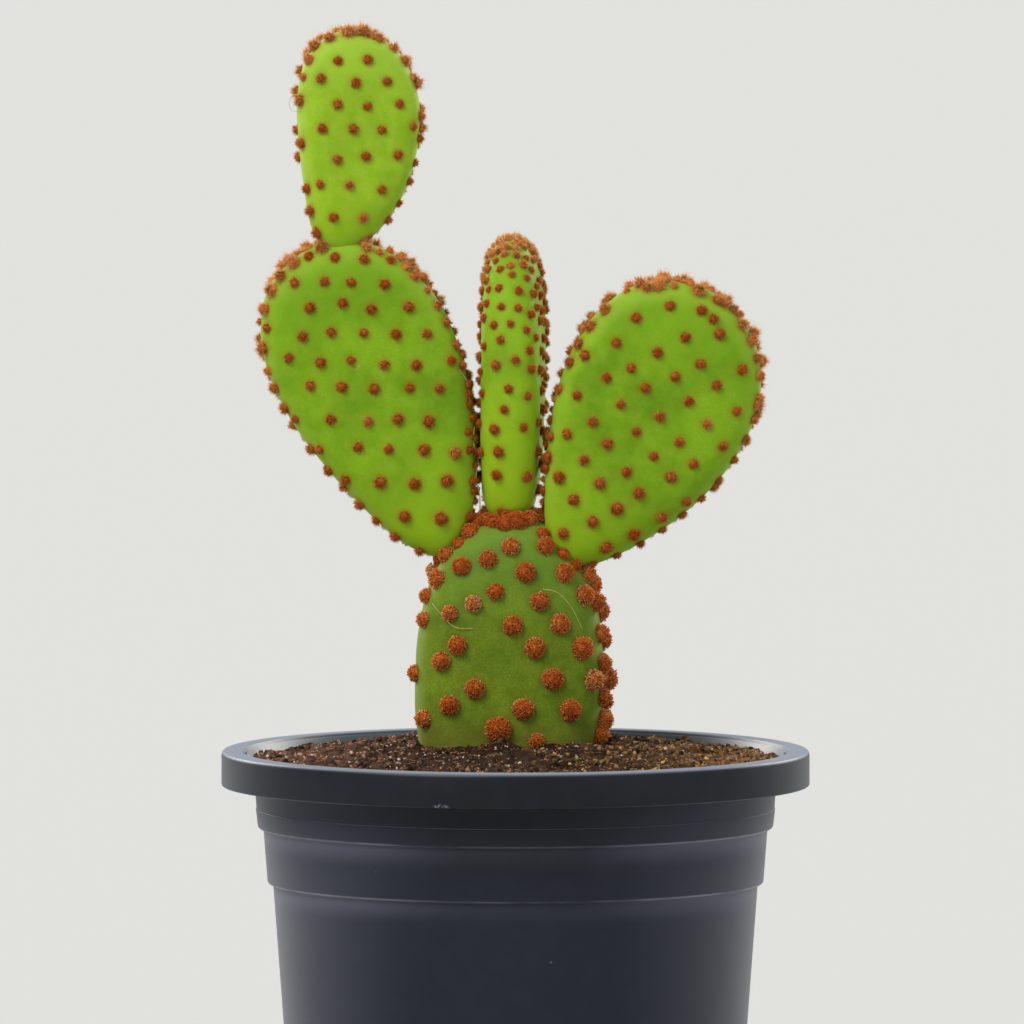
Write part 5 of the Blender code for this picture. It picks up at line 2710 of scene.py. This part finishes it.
OLD_SKIN = SkinFinish(
    name="old_skin",
    deep=(0.080, 0.138, 0.003),
    fresh=(0.165, 0.240, 0.006),
    pale=(0.21, 0.31, 0.025),
    halo=(0.160, 0.085, 0.008),
    foot=(0.130, 0.105, 0.014),
    crown=(0.108, 0.225, 0.020),
    scar=(0.44, 0.42, 0.14),
    grain_scale=2900.0,
    grain_share=0.50,
    dust=0.03,
    sheen=0.12,
    rim_share=0.40,
    hair_share=0.13,
    weave_share=0.36,
    thread_share=0.45,
    foot_span=(0.46, 0.345),
)
YOUNG_BRISTLES = BristleFinish(
    name="young_bristles",
    root=(0.20, 0.025, 0.001),
    shaft=(0.33, 0.046, 0.001),
    light_shaft=(0.88, 0.345, 0.080),
    tip=(0.97, 0.64, 0.42),
    tip_start=0.50,
    pale_tones=(0.35, 0.90),
    end_share=0.14,
    gap=(0.20, 0.020, 0.001),
    gap_shade_share=0.55,
)
OLD_BRISTLES = BristleFinish(
    name="old_bristles",
    root=(0.24, 0.032, 0.004),
    shaft=(0.53, 0.105, 0.014),
    light_shaft=(0.80, 0.29, 0.065),
    tip=(0.95, 0.58, 0.30),
    tip_start=0.72,
    pale_tones=(0.30, 0.75),
    end_share=0.42,
    gap=(0.14, 0.014, 0.002),
    gap_shade_share=0.80,
)
PEAT = SoilFinish(
    name="peat",
    dark=(0.019, 0.011, 0.007),
    red=(0.150, 0.068, 0.042),
    tan=(0.20, 0.097, 0.033),
    grit=(0.34, 0.22, 0.14),
)
PEAT_TONES = (
    (0.270, 0.128, 0.080),
    (0.135, 0.062, 0.037),
    (0.026, 0.0145, 0.009),
    (0.135, 0.063, 0.024),
    (0.400, 0.200, 0.068),
)
BARK_TONES = (
    (0.500, 0.280, 0.185),
    (0.280, 0.135, 0.078),
    (0.052, 0.028, 0.017),
    (0.320, 0.158, 0.056),
    (0.600, 0.330, 0.115),
)
GRIT_TONES = ((0.70, 0.50, 0.40), (0.70, 0.62, 0.52), (0.58, 0.46, 0.33))
FIBRE_TONES = ((0.14, 0.065, 0.024), (0.28, 0.155, 0.058), (0.46, 0.29, 0.12))
CRUMB_FINISHES = {
    CrumbKind.PEAT: CrumbFinish("peat_crumb", PEAT_TONES, 0.9),
    CrumbKind.BARK: CrumbFinish("bark_crumb", BARK_TONES, 0.85),
    CrumbKind.GRIT: CrumbFinish("grit", GRIT_TONES, 0.6),
}
FIBRE_FINISH = CrumbFinish("fibre", FIBRE_TONES, 0.8)
CRUMB_MIXES = (
    CrumbMix(CrumbKind.PEAT, count=3700, smallest=0.00020, largest=0.0010, roughness=0.40, sunk=0.55),
    CrumbMix(CrumbKind.BARK, count=2700, smallest=0.00018, largest=0.0007, roughness=0.40, sunk=0.50),
    CrumbMix(
        CrumbKind.GRIT, count=340, smallest=0.00022, largest=0.0006, roughness=0.25, sunk=0.40, lean=0.8
    ),
)
FIBRE_MIX = CrumbMix(CrumbKind.BARK, count=560, smallest=0.0005, largest=0.0015, lean=-0.8)
HAIR_FINISH = HairFinish(name="plant_hair", pale=(0.60, 0.52, 0.26), warm=(0.50, 0.32, 0.12))
STRAY_HAIRS = (
    StrayHair(
        name="curl",
        pad="upper_left_pad",
        course=(
            (-0.0110, 0.0336, 0.0),
            (-0.0126, 0.0340, 0.0004),
            (-0.0138, 0.0328, 0.0006),
            (-0.0137, 0.0306, 0.0006),
            (-0.0124, 0.0298, 0.0003),
            (-0.0112, 0.0304, 0.0),
        ),
    ),
    StrayHair(
        name="long_fibre",
        pad="base_pad",
        course=(
            (0.0066, 0.0630, 0.0014),
            (0.0094, 0.0630, 0.0024),
            (0.0119, 0.0607, 0.0016),
            (0.0139, 0.0580, 0.0008),
            (0.0156, 0.0540, 0.0002),
        ),
    ),
    StrayHair(
        name="short_fibre",
        pad="base_pad",
        course=(
            (-0.0176, 0.0590, 0.0010),
            (-0.0150, 0.0560, 0.0012),
            (-0.0120, 0.0535, 0.0006),
            (-0.0085, 0.0540, 0.0002),
        ),
    ),
    StrayHair(
        name="gap_fibre",
        pad="left_pad",
        course=(
            (0.0092, 0.0040, 0.0002),
            (0.0122, 0.0092, 0.0016),
            (0.0124, 0.0134, 0.0004),
            (0.0152, 0.0172, 0.0014),
            (0.0152, 0.0214, 0.0004),
            (0.0178, 0.0252, 0.0010),
        ),
        thickness=0.00013,
    ),
    StrayHair(
        name="upper_gap_fibre",
        pad="left_pad",
        course=(
            (0.0168, 0.0226, 0.0006),
            (0.0188, 0.0262, 0.0016),
            (0.0182, 0.0300, 0.0004),
            (0.0200, 0.0336, 0.0012),
            (0.0192, 0.0372, 0.0002),
        ),
        thickness=0.00013,
    ),
)
PADS_BY_NAME = {form.name: form for form in PAD_FORMS}
OLD_CUT = BristleCut(
    per_tuft=380,
    thickness=0.00010,
    breadth=0.98,
    rise=1.05,
    unruly=0.05,
    root_share=0.60,
    core_share=0.76,
    core_shade=(0.22, -0.05),
    lowest=-0.12,
    blunt=True,
    core_sides=12,
)
YOUNG_CUT = BristleCut(
    per_tuft=130,
    thickness=0.00008,
    breadth=0.92,
    rise=0.92,
    unruly=0.07,
    root_share=0.50,
    core_share=0.60,
    core_shade=(0.20, -0.06),
    lowest=-0.05,
)


def place_tufts(random: Random) -> dict[str, TuftSet]:
    """Places all the tufts of the plant.

    Args:
        random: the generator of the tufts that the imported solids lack.

    Returns:
        The tufts of each pad by its name.
    """
    rule = TuftRule()
    tuft_random = np.random.default_rng(TUFT_SEED)
    taken: list[tuple[Array, float]] = []
    placed = {}
    for form in PAD_FORMS:
        others = [other for other in PAD_FORMS if other.name != form.name]
        tufts = rule.tufts(form, others, taken, tuft_random)
        if form.name == "middle_pad":
            tufts = MIDDLE_SCATTER.tufts(form, others, random)
        fluff = FLUFF[form.name]
        if fluff.crusted:
            tufts = fluff.bared(form, fluff.swollen(form, tufts), random)
            tufts = fluff.with_front_rows(form, tufts, random)
            tufts = tufts.joined(fluff.border(form, others, tufts, random))
            tufts = tufts.joined(fluff.crust(form, others, tufts, random))
        placed[form.name] = tufts
    carried = [form for form in PAD_FORMS if form.carrier in PADS_BY_NAME]
    crowded = [(FLUFF[form.name], form.name, form.carrier) for form in carried]
    crowded += [(GAP_FLUFF, "middle_pad", "right_pad"), (GAP_FLUFF, "middle_pad", "left_pad")]
    for fluff, name, owner in crowded:
        others = [other for other in PAD_FORMS if other.name not in (name, owner)]
        crowding, carrier = PADS_BY_NAME[name], PADS_BY_NAME[owner]
        collar = fluff.collar(crowding, carrier, others, placed[owner], random)
        placed[owner] = placed[owner].joined(collar)
    return placed


def build_plant(random: Random) -> None:
    """Builds all the pads, with the base pad in its older finish, and the hairs caught on them.

    Args:
        random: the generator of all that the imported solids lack.
    """
    placed = place_tufts(random)
    skins = {"base_pad": OLD_SKIN, "upper_left_pad": FRESH_SKIN, "middle_pad": EDGE_SKIN}
    for form in PAD_FORMS:
        old = form.carrier == "soil"
        pad = CactusPad(
            form=form,
            skin=skins.get(form.name, YOUNG_SKIN),
            bristles=OLD_BRISTLES if old else YOUNG_BRISTLES,
            cut=OLD_CUT if old else YOUNG_CUT,
            slot="old_pad_skin" if old else "pad_skin",
        )
        LOG.info("%s: %d tufts", form.name, len(placed[form.name].sizes))
        pad.build(placed[form.name], PADS_BY_NAME.get(form.carrier), random)
    for hair in STRAY_HAIRS:
        strand = hair.build(PADS_BY_NAME[hair.pad], HAIR_FINISH)
        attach(strand, BODY)
        report(strand)


def build_soil(pot: NurseryPot, random: Random) -> None:
    """Builds the soil bed and all that lies loose on it.

    Args:
        pot: the pot that holds it.
        random: the generator of the loose pieces.
    """
    soil = PottingSoil(pot, PAD_FORMS[0])
    pieces = [soil.build_bed(PEAT)]
    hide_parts("soil")
    for mix in CRUMB_MIXES:
        pieces.append(soil.build_crumbs(mix, CRUMB_FINISHES[mix.kind], random))
    pieces.append(soil.build_fibres(FIBRE_FINISH, random))
    for piece in pieces:
        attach(piece, BODY)
        report(piece)


def main() -> None:
    """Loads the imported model, dresses it piece by piece and sets up the studio."""
    logging.basicConfig(level=logging.INFO, format="%(name)s: %(message)s")
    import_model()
    random = np.random.default_rng(LOOK_SEED)
    pot = NurseryPot()
    skirt_foot = pot.height - pot.lip_drop
    ledges = tuple(pot.height - depth for depth in pot.step_depths)
    plastic = PlasticFinish(
        name="pot_plastic",
        shaded=(0.0056, 0.0074, 0.0110),
        lower_wall=(0.0115, 0.0145, 0.0260),
        lower_side_sheen=(0.060, 0.062, 0.080),
        side_sheen_span=(0.020, 0.060),
        ledge_highlight=(0.100, 0.100, 0.140),
        sides=(0.030, 0.033, 0.050),
        wear_and_highlight=(0.26, 0.26, 0.31),
        wear_and_highlight_lines=((skirt_foot, 0.12), (ledges[0], 0.60), (ledges[1], 0.70)),
        line_width=0.00034,
        ledge_heights=ledges,
        highlight_fall=0.0060,
        dust=(0.30, 0.34, 0.42),
        sheen_sides=(0.010, 0.050),
        scuff=(-0.0165, -0.0629, skirt_foot + 0.0003),
        scuff_size=0.0008,
        scuff_slim=0.25,
    )
    pot.build(plastic)
    build_soil(pot, random)
    build_plant(random)
    Studio().build(pot.height, FloorFinish("pale_floor", (0.49, 0.49, 0.48)))


if __name__ == "__main__":
    main()
